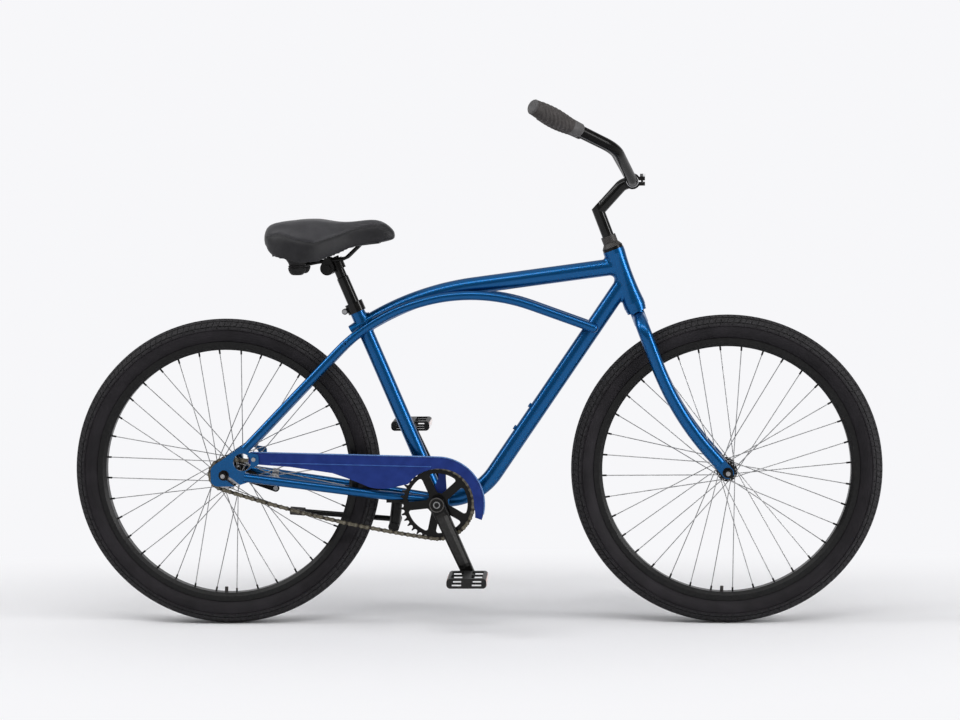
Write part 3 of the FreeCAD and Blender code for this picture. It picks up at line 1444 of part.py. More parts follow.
def crank_arm(side):
    """Forged arm, thick at the boss and rounded along its outer face."""
    end = crank_end(side)
    wire = link_outline((0, 0), CRANK_BOSS_DIA / 2, (end.x, end.z), CRANK_END_DIA / 2)
    near = CRANK_INNER_SIDE if side == LEFT else -CRANK_OUTER_SIDE
    arm = plate(wire, near, CRANK_THICKNESS, BB)
    outer = side * CRANK_OUTER_SIDE
    rim_edges = [edge for edge in arm.Edges if abs(edge.BoundBox.YMin - outer) < RUNNING_FIT]
    rim_edges = [edge for edge in rim_edges if edge.BoundBox.YLength < RUNNING_FIT]
    arm = arm.makeFillet(CRANK_ROUND, rim_edges)
    boss_start = CHAIN_LINE - TOOTH_THICKNESS / 2 if side == RIGHT else LEFT_BOSS_SIDE
    face = CRANK_OUTER_SIDE + CRANK_BOSS_PROUD
    arm = arm.fuse(across(BB, side * boss_start, side * face, CRANK_BOSS_DIA / 2))
    arm = arm.cut(across(BB, 0, side * BOLT_SEAT, SPINDLE_DIA / 2))
    arm = arm.cut(across(BB, side * BOLT_SEAT, side * (face + OVERRUN), CRANK_BOLT_DIA / 2))
    arm = arm.removeSplitter()
    return arm.cut(across(BB + end, 0, side * 2 * face, PEDAL_AXLE_DIA / 2))


def crank_bolts():
    """Cap bolts with a hexagonal socket, sunk in both crank bosses."""
    pieces = []
    for side in (LEFT, RIGHT):
        face = CRANK_OUTER_SIDE + CRANK_BOSS_PROUD
        cap = across(BB, side * BOLT_SEAT, side * face, CRANK_BOLT_DIA / 2)
        floor = to_side(BB, side * (face - CRANK_BOLT_HEAD / 2))
        socket = hexagon(floor, Y_AXIS * side, CRANK_BOLT_DIA / 2, CRANK_BOLT_HEAD)
        pieces.append(cap.cut(socket))
    return pieces


# Chain

def link_plate(near):
    """Side plate of a link, waisted between its two pins."""
    half = PLATE_HEIGHT / 2
    waist = half * WAIST_SHARE
    wire = outline(
        (0, half),
        ((-half, 0), (0, -half)),
        ((CHAIN_PITCH / 2, -waist), (CHAIN_PITCH, -half)),
        ((CHAIN_PITCH + half, 0), (CHAIN_PITCH, half)),
        ((CHAIN_PITCH / 2, waist), (0, half)),
    )
    return plate(wire, near, PLATE_THICKNESS)


def inner_link():
    half = INNER_WIDTH / 2
    pieces = [link_plate(half), link_plate(-half - PLATE_THICKNESS)]
    for x in (0, CHAIN_PITCH):
        pieces.append(across(Vec(x, 0, 0), -half, half, ROLLER_DIA / 2))
    link = union(pieces)
    for x in (0, CHAIN_PITCH):
        link = link.cut(across(Vec(x, 0, 0), -CHAIN_PITCH, CHAIN_PITCH, PIN_DIA / 2 + RUNNING_FIT))
    return link


def outer_link():
    half = INNER_WIDTH / 2 + PLATE_THICKNESS + 2 * RUNNING_FIT
    pieces = [link_plate(half), link_plate(-half - PLATE_THICKNESS)]
    reach = half + PLATE_THICKNESS + PIN_PROUD
    for x in (0, CHAIN_PITCH):
        pieces.append(across(Vec(x, 0, 0), -reach, reach, PIN_DIA / 2))
    return union(pieces)


def chain():
    kinds = (inner_link(), outer_link())
    links = []
    for i in range(CHAIN_LINKS):
        here = chain_point(i)
        run = chain_point(i + 1) - here
        turn = FreeCAD.Rotation(Vec(1, 0, 0), run)
        link = kinds[i % 2].copy()
        link.Placement = FreeCAD.Placement(to_side(here, RING_SIDE), turn)
        links.append(link)
    return links


# Pedals

PEDAL_START = CRANK_OUTER_SIDE + PEDAL_SHOULDER + GAP


def pedal_axle(side):
    centre = BB + crank_end(side)
    tip = PEDAL_START + PEDAL_WIDTH - PEDAL_END
    shoulder_end = CRANK_OUTER_SIDE + PEDAL_SHOULDER
    return union([
        across(centre, side * CRANK_INNER_SIDE, side * tip, PEDAL_AXLE_DIA / 2),
        across(centre, side * CRANK_OUTER_SIDE, side * shoulder_end, PEDAL_SHOULDER_DIA / 2),
    ])


def box(centre, size):
    block = Part.makeBox(size.x, size.y, size.z)
    block.translate(centre - Vec(size.x / 2, size.y / 2, size.z / 2))
    return block


def pedal(side):
    """Platform pedal: two side rails, end walls, a mid web and a barrel, with two reflectors let in."""
    centre = BB + crank_end(side)
    middle = to_side(centre, side * (PEDAL_START + PEDAL_WIDTH / 2))
    half_x = PEDAL_LENGTH / 2
    half_z = PEDAL_HEIGHT / 2
    wire = rounded(
        [(-half_x, half_z), (half_x, half_z), (half_x, -half_z), (-half_x, -half_z)], [PEDAL_CORNER] * 4
    )
    near = middle.y - PEDAL_WIDTH / 2
    body = plate(wire, near, PEDAL_WIDTH, centre)
    barrel = PEDAL_BARREL_DIA / 2
    opening_x = half_x - PEDAL_RAIL - barrel
    opening_y = PEDAL_WIDTH / 2 - PEDAL_END - PEDAL_WEB / 2
    for x in (-1, 1):
        for y in (-1, 1):
            at = middle + Vec(x * (barrel + opening_x / 2), y * (PEDAL_WEB + opening_y) / 2, 0)
            body = body.cut(box(at, Vec(opening_x, opening_y, 2 * PEDAL_HEIGHT)))
        at = middle + Vec(x * (barrel + opening_x / 2), 0, 0)
        body = body.cut(box(at, Vec(opening_x - PEDAL_WEB, 2 * PEDAL_WIDTH, PEDAL_HEIGHT - 2 * PEDAL_WEB)))
    reach = PEDAL_START + PEDAL_WIDTH
    body = body.cut(across(centre, 0, side * (reach - PEDAL_END + GAP), PEDAL_AXLE_DIA / 2 + RUNNING_FIT))
    size = Vec(REFLECTOR_DEPTH, REFLECTOR_WIDTH, REFLECTOR_HEIGHT)
    lenses = []
    for x in (-1, 1):
        lens = box(middle + Vec(x * (half_x - REFLECTOR_DEPTH / 2), 0, 0), size)
        body = body.cut(lens)
        lenses.append(lens)
    return [body] + lenses


# Chain guard

def scaled(step, size):
    """A step of an outline, a point or an arc's two points, from shares to millimetres."""
    if isinstance(step[0], tuple):
        return tuple(scaled(point, size) for point in step)
    return (step[0] * size, step[1] * size)


def guard_outline():
    """Outline about the bottom bracket: a hook round the ring's front and a tail back to the dropout."""
    def polar(radius, angle):
        return (radius * math.cos(angle), radius * math.sin(angle))

    tail = REAR_AXLE + Vec(GUARD_TAB_AHEAD, 0, GUARD_TAB_UP) - BB
    rear = tail.x - GUARD_TAB_DIA / 2
    tail_low = tail.z - GUARD_TAB_DIA / 2
    middle_outer = (GUARD_TIP_ANGLE + GUARD_TOP_ANGLE) / 2
    middle_inner = (GUARD_TIP_ANGLE + GUARD_BACK_ANGLE) / 2
    steps = [
        polar(GUARD_OUTER_R, GUARD_TIP_ANGLE),
        (polar(GUARD_OUTER_R, middle_outer), polar(GUARD_OUTER_R, GUARD_TOP_ANGLE)),
        (rear + GUARD_CORNER, tail.z + GUARD_TAB_DIA / 2 + GUARD_CORNER / 2),
        ((rear, tail.z + GUARD_TAB_DIA / 2), (rear, tail.z)),
        ((rear + GUARD_CORNER / 2, tail_low), (rear + GUARD_CORNER, tail_low)),
    ]
    for share in GUARD_LOWER_SHARES:
        steps.append(scaled(share, GUARD_OUTER_R))
    steps.append(polar(GUARD_INNER_R, GUARD_BACK_ANGLE))
    steps.append((polar(GUARD_FRONT_R, middle_inner), polar(GUARD_TIP_R, GUARD_TIP_ANGLE)))
    return outline(polar(GUARD_TIP_R, GUARD_TIP_ANGLE), *steps)


def chain_guard():
    """Pressed sheet with a raised bead along it, and the bracket that carries it on the bottom bracket."""
    outer = -REAR_SPACING / 2
    sheet = plate(guard_outline(), outer, GUARD_THICKNESS, BB)
    ends = [BB + Vec(x, 0, z) * GUARD_OUTER_R for x, z in GUARD_BEAD_SHARES]
    bead = rod(to_side(ends[0], outer), to_side(ends[1], outer), GUARD_BEAD_DIA / 2)
    sheet = union([sheet, bead])
    bolt = REAR_AXLE + Vec(GUARD_TAB_AHEAD, 0, GUARD_TAB_UP)
    sheet = sheet.cut(across(bolt, 0, -REAR_SPACING, GUARD_BOLT_DIA / 2))
    return sheet


def guard_bracket():
    """Strap clamped behind the bearing cup, bent out over the chain to the guard's inner face."""
    near = -BB_SHELL_WIDTH / 2 - BRACKET_THICKNESS
    half = BRACKET_WIDTH / 2
    blank = link_outline((0, 0), BRACKET_HUB_DIA / 2, (BRACKET_AHEAD, BRACKET_UP), half)
    stand = plate(blank, near, BRACKET_THICKNESS, BB)
    top = BRACKET_TOP + BRACKET_THICKNESS
    low = (BRACKET_AHEAD - half, BRACKET_UP)
    wire = outline(
        low, (BRACKET_AHEAD + half, BRACKET_UP), (BRACKET_AHEAD + half, top), (BRACKET_AHEAD - half, top)
    )
    post = plate(wire, near, BRACKET_THICKNESS, BB)
    wire = outline(
        (BRACKET_AHEAD - half, BRACKET_TOP),
        (BRACKET_AHEAD + half, BRACKET_TOP),
        (BRACKET_AHEAD + half, top),
        (BRACKET_AHEAD - half, top),
    )
    inner_face = -REAR_SPACING / 2 + GUARD_THICKNESS
    shelf = plate(wire, inner_face, near - inner_face + BRACKET_THICKNESS, BB)
    strap = union([stand, post, shelf])
    return strap.cut(across(BB, 0, -REAR_SPACING, BB_SHELL_BORE / 2))


def guard_bolt():
    """Bolt and nut that hold the guard's tail to the right dropout."""
    place = REAR_AXLE + Vec(GUARD_TAB_AHEAD, 0, GUARD_TAB_UP)
    inside = -REAR_SPACING / 2 + GUARD_THICKNESS
    outside = -REAR_SPACING / 2 - DROPOUT_THICKNESS
    return union([
        across(place, inside + GUARD_NUT_HEIGHT, outside - GUARD_HEAD_HEIGHT, GUARD_BOLT_DIA / 2),
        across(place, inside, inside + GUARD_NUT_HEIGHT, GUARD_BOLT_HEAD / 2),
        across(place, outside, outside - GUARD_HEAD_HEIGHT, GUARD_BOLT_HEAD / 2),
    ])


# Seat post and saddle

SADDLE_PIVOT = on_seat(CLAMP_UP, -CLAMP_BACK)


def seatpost():
    """Tube that steps down to a neck for the saddle clamp."""
    low = SEAT_TUBE_LENGTH - SEATPOST_INSERT
    step = SEATPOST_TOP - SEATPOST_NECK
    outer = SEATPOST_DIA / 2
    neck = SEATPOST_NECK_DIA / 2
    inner = neck - SEATPOST_WALL
    slope = outer - neck
    wire = outline(
        (inner, low),
        (outer, low),
        (outer, step - slope),
        (neck, step),
        (neck, SEATPOST_TOP),
        (inner, SEATPOST_TOP),
    )
    return turned(wire, BB, SEAT_UP)


def saddle_clamp():
    """Band round the post's neck with a cross barrel behind it, and the cross bolt with its nuts."""
    half_band = CLAMP_BAND_HEIGHT / 2
    neck = SEATPOST_NECK_DIA / 2
    band = rod(on_seat(CLAMP_UP - half_band), on_seat(CLAMP_UP + half_band), neck + CLAMP_BAND_WALL)
    half = CLAMP_BARREL_WIDTH / 2
    barrel = across(SADDLE_PIVOT, -half, half, CLAMP_BARREL_DIA / 2)
    body = band.fuse(barrel).cut(rod(on_seat(0), on_seat(SEATPOST_TOP + OVERRUN), neck))
    bolt_r = CLAMP_BOLT_DIA / 2
    body = body.cut(across(SADDLE_PIVOT, -half - OVERRUN, half + OVERRUN, bolt_r)).removeSplitter()
    face = half + GAP + RAIL_BLOCK_WIDTH + GAP
    reach = face + CLAMP_NUT
    pieces = [across(SADDLE_PIVOT, -reach, reach, bolt_r)]
    for side in (LEFT, RIGHT):
        pieces.append(hexagon(to_side(SADDLE_PIVOT, side * face), Y_AXIS * side, CLAMP_NUT_FLATS, CLAMP_NUT))
    return body, union(pieces)


def rail_path(side):
    """Centre line of one saddle rail, from the bumper at the back to the nose."""
    back, front, nose = RAIL_STEPS
    return [
        SADDLE_PIVOT + Vec(-BUMPER_BACK, side * BUMPER_SIDE, RAIL_REAR_UP),
        SADDLE_PIVOT + Vec(back[0], side * RAIL_SIDE, back[1]),
        SADDLE_PIVOT + Vec(front[0], side * RAIL_SIDE, front[1]),
        SADDLE_PIVOT + Vec(nose[0], side * RAIL_NOSE_SIDE, nose[1]),
    ]


def saddle_rail(side):
    wire = bent_rod(rail_path(side), [RAIL_BEND, RAIL_BEND], RAIL_DIA / 2)
    return largest(wire.cut(saddle_base()).cut(bumper_core(side)))


def rail_block(side):
    """Toothed block on the cross bolt that grips one rail."""
    start = CLAMP_BARREL_WIDTH / 2 + GAP
    near = start if side == LEFT else -start - RAIL_BLOCK_WIDTH
    wire = link_outline((0, 0), RAIL_BLOCK_DIA / 2, (0, RAIL_LIFT), RAIL_TOP_DIA / 2)
    block = plate(wire, near, RAIL_BLOCK_WIDTH, SADDLE_PIVOT)
    block = block.cut(across(SADDLE_PIVOT, -REAR_SPACING, REAR_SPACING, CLAMP_BOLT_DIA / 2 + RUNNING_FIT))
    return largest(block.cut(bent_rod(rail_path(side), [RAIL_BEND, RAIL_BEND], RAIL_DIA / 2)))


def bumper_core(side):
    centre = SADDLE_PIVOT + Vec(-BUMPER_BACK, side * BUMPER_SIDE, -BUMPER_DROP)
    return rod(centre, centre + Z_AXIS * BUMPER_HEIGHT, BUMPER_DIA / 2)


def saddle_bumper(side):
    """Rubber bumper with a waist, between the rail's back end and the base."""
    centre = SADDLE_PIVOT + Vec(-BUMPER_BACK, side * BUMPER_SIDE, -BUMPER_DROP)
    radius = BUMPER_DIA / 2
    waist = radius * BUMPER_WAIST_SHARE
    wire = outline(
        (0, 0), (radius, 0), ((waist, BUMPER_HEIGHT / 2), (radius, BUMPER_HEIGHT)), (0, BUMPER_HEIGHT)
    )
    return turned(wire, centre, Z_AXIS)


def half_width(share):
    """Half width of the saddle at a share of its length, straight between the listed stations."""
    for here, after in zip(SADDLE_SHARES, SADDLE_SHARES[1:]):
        if share <= after[0]:
            part = (share - here[0]) / (after[0] - here[0])
            return SADDLE_WIDTH / 2 * (here[1] + part * (after[1] - here[1]))
    return SADDLE_WIDTH / 2 * SADDLE_SHARES[-1][1]


def saddle_section(along, wide, low, high):
    """Crowned cross section of the cover at one station along the saddle."""
    x = SADDLE_PIVOT.x + SADDLE_NOSE_AHEAD - SADDLE_LENGTH * (1 - along)
    half = SADDLE_WIDTH / 2 * wide
    bottom = SADDLE_PIVOT.z + SADDLE_TOP_UP * low
    height = SADDLE_TOP_UP * (high - low)
    points = [Vec(x, half * y, bottom + height * z) for y, z in CROWN_SHARES]
    points += [Vec(x, -half * y, bottom + height * z) for y, z in CROWN_SHARES[-2::-1]]
    curve = Part.BSplineCurve()
    curve.interpolate(points)
    return Part.Wire([curve.toShape(), Part.LineSegment(points[-1], points[0]).toShape()])


def base_outline(inset):
    """Plan of the saddle base, drawn in the XY plane about the clamp."""
    sides = []
    for share in BASE_SHARES:
        x = SADDLE_NOSE_AHEAD - SADDLE_LENGTH * (1 - share)
        sides.append(Vec(x, half_width(share) - inset, 0))
    other = [Vec(p.x, -p.y, 0) for p in reversed(sides)]
    edges = []
    for points in (sides, other):
        curve = Part.BSplineCurve()
        curve.interpolate(points)
        edges.append(curve.toShape())
    edges.insert(1, Part.LineSegment(sides[-1], other[0]).toShape())
    edges.append(Part.LineSegment(other[-1], sides[0]).toShape())
    return Part.Face(Part.Wire(edges))


def on_base(shape):
    turn = FreeCAD.Rotation(Y_AXIS, -math.degrees(SADDLE_BASE_SLOPE))
    shape.Placement = FreeCAD.Placement(SADDLE_PIVOT + Z_AXIS * SADDLE_BASE_UP, turn)
    return shape


def saddle_base():
    """Moulded base plate with a conical seat over each bumper."""
    sheet = on_base(base_outline(SADDLE_BASE_INSET).extrude(Vec(0, 0, -SADDLE_BASE_THICKNESS)))
    pieces = [sheet]
    for side in (LEFT, RIGHT):
        start = SADDLE_PIVOT + Vec(-BUMPER_BACK, side * BUMPER_SIDE, BUMPER_HEIGHT - BUMPER_DROP)
        height = SADDLE_BASE_UP - BUMPER_BACK * math.tan(SADDLE_BASE_SLOPE) - BUMPER_HEIGHT + BUMPER_DROP
        height -= SADDLE_BASE_THICKNESS / 2
        pieces.append(Part.makeCone(BUMPER_DIA / 2 - TUBE_WALL, BUMPER_DIA / 2, height, start, Z_AXIS))
    return union(pieces)


def saddle_cover():
    """Padded, crowned cover with its skirt drawn down past the base."""
    shell = Part.makeLoft([saddle_section(*row) for row in SADDLE_SHARES], True)
    space = on_base(base_outline(SADDLE_BASE_INSET).extrude(Vec(0, 0, -SADDLE_TOP_UP)))
    return largest(shell.cut(space))


# Kickstand

STAND_PIVOT = BB + Vec(-STAND_BACK, STAND_SIDE, -STAND_DROP)
STAND_AXIS = Vec(
    math.sin(STAND_YAW) * math.cos(STAND_TILT),
    math.cos(STAND_YAW) * math.cos(STAND_TILT),
    math.sin(STAND_TILT),
)


def kickstand_bracket():
    """Clamp plate under the two chain stays, and the casting that reaches down to the leg's pivot."""
    low = STAND_PIVOT - STAND_AXIS * STAND_BOSS_WIDTH
    boss = rod(low, STAND_PIVOT, STAND_BOSS_DIA / 2)
    middle = Vec(STAND_PIVOT.x + STAND_PLATE_AHEAD, 0, STAND_PIVOT.z + STAND_PLATE_UP)
    size = Vec(STAND_PLATE_LENGTH, STAND_PLATE_WIDTH, STAND_PLATE_THICKNESS)
    sheet = box(middle, size)
    column = rod(middle, low + STAND_AXIS * STAND_BOSS_WIDTH / 2, STAND_COLUMN_DIA / 2)
    cap_start = STAND_PIVOT + STAND_AXIS * (STAND_HUB_WIDTH + 2 * GAP)
    cap = rod(cap_start, cap_start + STAND_AXIS * STAND_CAP, STAND_PIN_DIA)
    pin = rod(STAND_PIVOT, cap_start, STAND_PIN_DIA / 2)
    casting = union([boss, sheet, column]).cut(rod(STAND_PIVOT, cap_start, STAND_BOSS_DIA / 2 + GAP))
    body = union([casting, pin, cap])
    for side in (LEFT, RIGHT):
        body = body.cut(bent_rod(chain_stay_path(side), [CHAIN_STAY_BEND], CHAIN_STAY_DIA / 2))
    return largest(body)


def stand_foot():
    hub_middle = STAND_PIVOT + STAND_AXIS * (GAP + STAND_HUB_WIDTH / 2)
    return hub_middle + Vec(-STAND_LEG_BACK, STAND_LEG_OUT, STAND_LEG_UP)


def kickstand_leg():
    """Hub on the pivot pin and the round leg, folded back along the chain stay."""
    start = STAND_PIVOT + STAND_AXIS * GAP
    end = start + STAND_AXIS * STAND_HUB_WIDTH
    middle = start + STAND_AXIS * (STAND_HUB_WIDTH / 2)
    leg = union([rod(start, end, STAND_BOSS_DIA / 2), rod(middle, stand_foot(), STAND_LEG_DIA / 2)])
    return leg.cut(rod(STAND_PIVOT, end + STAND_AXIS * OVERRUN, STAND_PIN_DIA / 2 + RUNNING_FIT))


def kickstand_foot():
    """Rubber boot over the end of the leg."""
    middle = STAND_PIVOT + STAND_AXIS * (GAP + STAND_HUB_WIDTH / 2)
    aim = (stand_foot() - middle).normalize()
    start = stand_foot() - aim * STAND_FOOT_LENGTH * BOOT_SHARE
    boot = rod(start, start + aim * STAND_FOOT_LENGTH, STAND_FOOT_DIA / 2)
    return boot.cut(rod(middle, stand_foot(), STAND_LEG_DIA / 2))


if __name__ == "__main__":
    save("head_tube", head_tube())
    save("top_tube", top_tube())
    save("down_tube", down_tube())
    save("seat_tube", seat_tube())
    save("bottom_bracket_shell", bottom_bracket_shell())
    for name, side in (("left", LEFT), ("right", RIGHT)):
        save("stay_tube_" + name, stay_tube(side))
        save("chain_stay_" + name, chain_stay(side))
        save("dropout_" + name, dropout(side))
        save("fork_blade_" + name, fork_blade(side))
        save("crank_arm_" + name, crank_arm(side))
        save("pedal_" + name, *pedal(side))
    save("stay_bridge", stay_bridge())
    save("seat_clamp", seat_clamp())
    save("headset_cups", *headset_cups())
    save("fork_steerer", fork_steerer())
    save("headset_locknut", headset_locknut())
    save("stem", stem())
    save("stem_bolts", *stem_bolts())
    save("handlebar", handlebar())
    save("grips", grip(LEFT), grip(RIGHT))
    wheels = (
        ("front", FRONT_AXLE, FRONT_HOLE_CIRCLE, FRONT_FLANGE_SIDE),
        ("rear", REAR_AXLE, REAR_HOLE_CIRCLE, REAR_FLANGE_SIDE),
    )
    for name, centre, hole_circle, flange_side in wheels:
        save(name + "_tyre", tyre(centre))
        save(name + "_inner_tube", inner_tube(centre))
        save(name + "_rim", rim(centre, hole_circle, flange_side))
        save(name + "_spokes", *spokes(centre, hole_circle, flange_side))
    save("front_hub", hub(
        FRONT_AXLE, FRONT_HUB_WIDTH, FRONT_FLANGE_SIDE, FRONT_FLANGE_DIA,
        FRONT_HOLE_CIRCLE, FRONT_BARREL_DIA, FRONT_CAP_DIA,
    ))
    save("rear_hub", hub(
        REAR_AXLE, REAR_HUB_WIDTH, REAR_FLANGE_SIDE, REAR_FLANGE_DIA,
        REAR_HOLE_CIRCLE, REAR_BARREL_DIA, REAR_CAP_DIA,
    ))
    save("front_axle", front_axle())
    save("rear_axle", rear_axle())
    save("front_axle_nuts", *axle_nuts(FRONT_AXLE, FRONT_SPACING / 2 + FORK_END_THICKNESS))
    save("rear_axle_nuts", *axle_nuts(REAR_AXLE, REAR_SPACING / 2 + DROPOUT_THICKNESS))
    save("coaster_brake_arm", coaster_brake_arm())
    save("brake_arm_clip", brake_arm_clip())
    save("bb_cups", *bb_cups())
    save("crank_spindle", crank_spindle())
    save("chainring", chainring())
    save("rear_sprocket", rear_sprocket())
    save("crank_bolts", *crank_bolts())
    save("chain", *chain())
    save("pedal_axles", pedal_axle(LEFT), pedal_axle(RIGHT))
    save("chain_guard", chain_guard(), guard_bracket())
    save("frame_bolts", seat_clamp_bolt(), brake_clip_bolt(), guard_bolt())
    save("seatpost", seatpost())
    save("saddle_clamp", *saddle_clamp())
    save("saddle_base", saddle_base())
    save("saddle_cover", saddle_cover())
    save("saddle_rails", saddle_rail(LEFT), saddle_rail(RIGHT), rail_block(LEFT), rail_block(RIGHT))
    save("saddle_bumpers", saddle_bumper(LEFT), saddle_bumper(RIGHT))
    save("kickstand_bracket", kickstand_bracket())
    save("kickstand_leg", kickstand_leg())
    save("kickstand_foot", kickstand_foot())
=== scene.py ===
import json
import math

import bmesh
import bpy
from mathutils import Matrix, Vector


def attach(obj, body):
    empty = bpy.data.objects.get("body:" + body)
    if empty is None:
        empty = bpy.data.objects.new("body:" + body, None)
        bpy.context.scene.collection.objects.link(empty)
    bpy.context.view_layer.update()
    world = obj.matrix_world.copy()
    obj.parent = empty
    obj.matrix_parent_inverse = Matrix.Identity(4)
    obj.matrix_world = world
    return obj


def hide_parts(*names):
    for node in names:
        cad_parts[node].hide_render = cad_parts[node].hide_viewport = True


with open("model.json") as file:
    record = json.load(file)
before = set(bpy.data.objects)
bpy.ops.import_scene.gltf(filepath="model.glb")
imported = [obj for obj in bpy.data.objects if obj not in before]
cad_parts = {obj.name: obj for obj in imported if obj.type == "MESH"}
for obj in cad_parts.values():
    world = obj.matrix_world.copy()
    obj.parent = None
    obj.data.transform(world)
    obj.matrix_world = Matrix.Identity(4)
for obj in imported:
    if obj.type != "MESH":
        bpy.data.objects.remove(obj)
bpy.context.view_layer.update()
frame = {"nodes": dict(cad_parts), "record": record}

NODES = frame["nodes"]

# Places taken from the CAD frame, in metres

REAR_AXLE = Vector((-0.537, 0, 0.332))
FRONT_AXLE = Vector((0.537, 0, 0.332))
BOTTOM_BRACKET = Vector((-0.080371, 0, 0.268))
CROSSWAYS = Vector((0, 1, 0))
HEAD_BASE = Vector((0.343991, 0, 0.68261))
HEAD_UP = Vector((-0.350207, 0, 0.936672))
SEAT_UP = Vector((-0.384295, 0, 0.92321))
TOP_TUBE_HEAD = Vector((0.311422, 0, 0.769721))
TOP_TUBE_AIM = Vector((-0.452142, 0, -0.057119)).normalized()
TOP_TUBE_TAIL = Vector((-0.259979, 0, 0.630944))
TOP_TUBE_TAIL_AIM = Vector((0.119259, 0, 0.081658)).normalized()
DOWN_TUBE_HEAD = Vector((0.323329, 0, 0.737874))
DOWN_TUBE_AIM = Vector((-0.566406, 0, -0.824126))
DOWN_TUBE_TAIL_AIM = Vector((0.087973, 0, 0.01049)).normalized()
BAR_CENTRE = Vector((0.339453, 0, 0.948883))
GRIP_END = Vector((0.139453, -0.33, 1.099883))
GRIP_INWARD = Vector((0.737796, 0.562345, -0.373397))
PEDALS = {"pedal_right": Vector((-0.013787, 0, 0.117034)), "pedal_left": Vector((-0.146955, 0, 0.418966))}
BUMPER = Vector((-0.373427, 0.038, 0.760234))
BUMPER_SINK = 0.002


# Materials

COAT_ROUGHNESS = 0.07


def shader(name, color, roughness, metallic=0.0, coat=0.0, specular=0.5):
    mat = bpy.data.materials.new(name)
    mat.use_nodes = True
    sockets = mat.node_tree.nodes["Principled BSDF"].inputs
    sockets["Base Color"].default_value = (*color, 1)
    sockets["Roughness"].default_value = roughness
    sockets["Metallic"].default_value = metallic
    sockets["Specular IOR Level"].default_value = specular
    sockets["Coat Weight"].default_value = coat
    sockets["Coat Roughness"].default_value = COAT_ROUGHNESS
    return mat


def texture(mat, kind, scale, **settings):
    """A texture node in the object's own coordinates, so that it stays put when the part moves."""
    tree = mat.node_tree
    place = tree.nodes.new("ShaderNodeTexCoord")
    node = tree.nodes.new("ShaderNodeTex" + kind)
    tree.links.new(place.outputs["Object"], node.inputs["Vector"])
    node.inputs["Scale"].default_value = scale
    for name, value in settings.items():
        node.inputs[name].default_value = value
    return node


def tint(mat, output, dark, light, low=0.3, high=0.7):
    """Base colour that goes from dark to light with a texture's value."""
    tree = mat.node_tree
    ramp = tree.nodes.new("ShaderNodeValToRGB")
    for element, place, color in zip(ramp.color_ramp.elements, (low, high), (dark, light)):
        element.position = place
        element.color = (*color, 1)
    tree.links.new(output, ramp.inputs["Fac"])
    tree.links.new(ramp.outputs["Color"], tree.nodes["Principled BSDF"].inputs["Base Color"])


def polish(mat, output, low, high):
    """Roughness that goes from low to high with a texture's value."""
    tree = mat.node_tree
    span = tree.nodes.new("ShaderNodeMapRange")
    span.inputs["To Min"].default_value = low
    span.inputs["To Max"].default_value = high
    tree.links.new(output, span.inputs["Value"])
    tree.links.new(span.outputs["Result"], tree.nodes["Principled BSDF"].inputs["Roughness"])


def relief(mat, output, strength, distance):
    """Fine surface relief, added to any that the material has already."""
    tree = mat.node_tree
    normal = tree.nodes["Principled BSDF"].inputs["Normal"]
    bump = tree.nodes.new("ShaderNodeBump")
    bump.inputs["Strength"].default_value = strength
    bump.inputs["Distance"].default_value = distance
    if normal.links:
        tree.links.new(normal.links[0].from_socket, bump.inputs["Normal"])
    tree.links.new(output, bump.inputs["Height"])
    tree.links.new(bump.outputs["Normal"], normal)


def candy_paint():
    """Blue metallic paint under clear coat: fine flakes, slow tone changes and a slight orange peel."""
    mat = shader("candy_blue_paint", (0.004, 0.075, 0.25), 0.3, metallic=0.85, coat=0.3, specular=0.05)
    flakes = texture(mat, "Voronoi", 1800)
    tint(mat, flakes.outputs["Distance"], (0.002, 0.054, 0.18), (0.004, 0.106, 0.3), 0.1, 0.8)
    cloud = texture(mat, "Noise", 14, Detail=3)
    polish(mat, cloud.outputs["Fac"], 0.27, 0.36)
    peel = texture(mat, "Noise", 420, Detail=1)
    relief(mat, peel.outputs["Fac"], 0.03, 0.0002)
    return mat


def guard_paint(name, dark, light):
    """Flatter indigo paint of the pressed chain guard, with fine scuffs."""
    mat = shader(name, light, 0.42, coat=0.05, specular=0.12)
    scuff = texture(mat, "Noise", 38, Detail=7)
    tint(mat, scuff.outputs["Fac"], dark, light)
    polish(mat, scuff.outputs["Fac"], 0.34, 0.52)
    peel = texture(mat, "Noise", 420, Detail=1)
    relief(mat, peel.outputs["Fac"], 0.05, 0.0003)
    return mat


def black_paint(name, coat, low, high, specular=0.1):
    """Black enamel with faint handling marks."""
    mat = shader(name, (0.004, 0.004, 0.004), low, coat=coat, specular=specular)
    dust = texture(mat, "Noise", 60, Detail=6)
    tint(mat, dust.outputs["Fac"], (0.002, 0.002, 0.002), (0.007, 0.0065, 0.006))
    polish(mat, dust.outputs["Fac"], low, high)
    peel = texture(mat, "Noise", 600, Detail=1)
    relief(mat, peel.outputs["Fac"], 0.04, 0.0003)
    return mat


def black_alloy(name, dark, light):
    """Satin black anodised alloy with fine drawing lines."""
    mat = shader(name, light, 0.38, metallic=0.2, specular=0.3)
    grain = texture(mat, "Noise", 180, Detail=8)
    tint(mat, grain.outputs["Fac"], dark, light)
    polish(mat, grain.outputs["Fac"], 0.3, 0.46)
    relief(mat, grain.outputs["Fac"], 0.08, 0.0003)
    return mat


def satin_black():
    """Brownish satin black of the headset cover."""
    mat = shader("satin_black", (0.03, 0.027, 0.025), 0.5, specular=0.4)
    grain = texture(mat, "Noise", 260, Detail=5)
    tint(mat, grain.outputs["Fac"], (0.02, 0.018, 0.017), (0.045, 0.04, 0.037))
    polish(mat, grain.outputs["Fac"], 0.4, 0.6)
    return mat


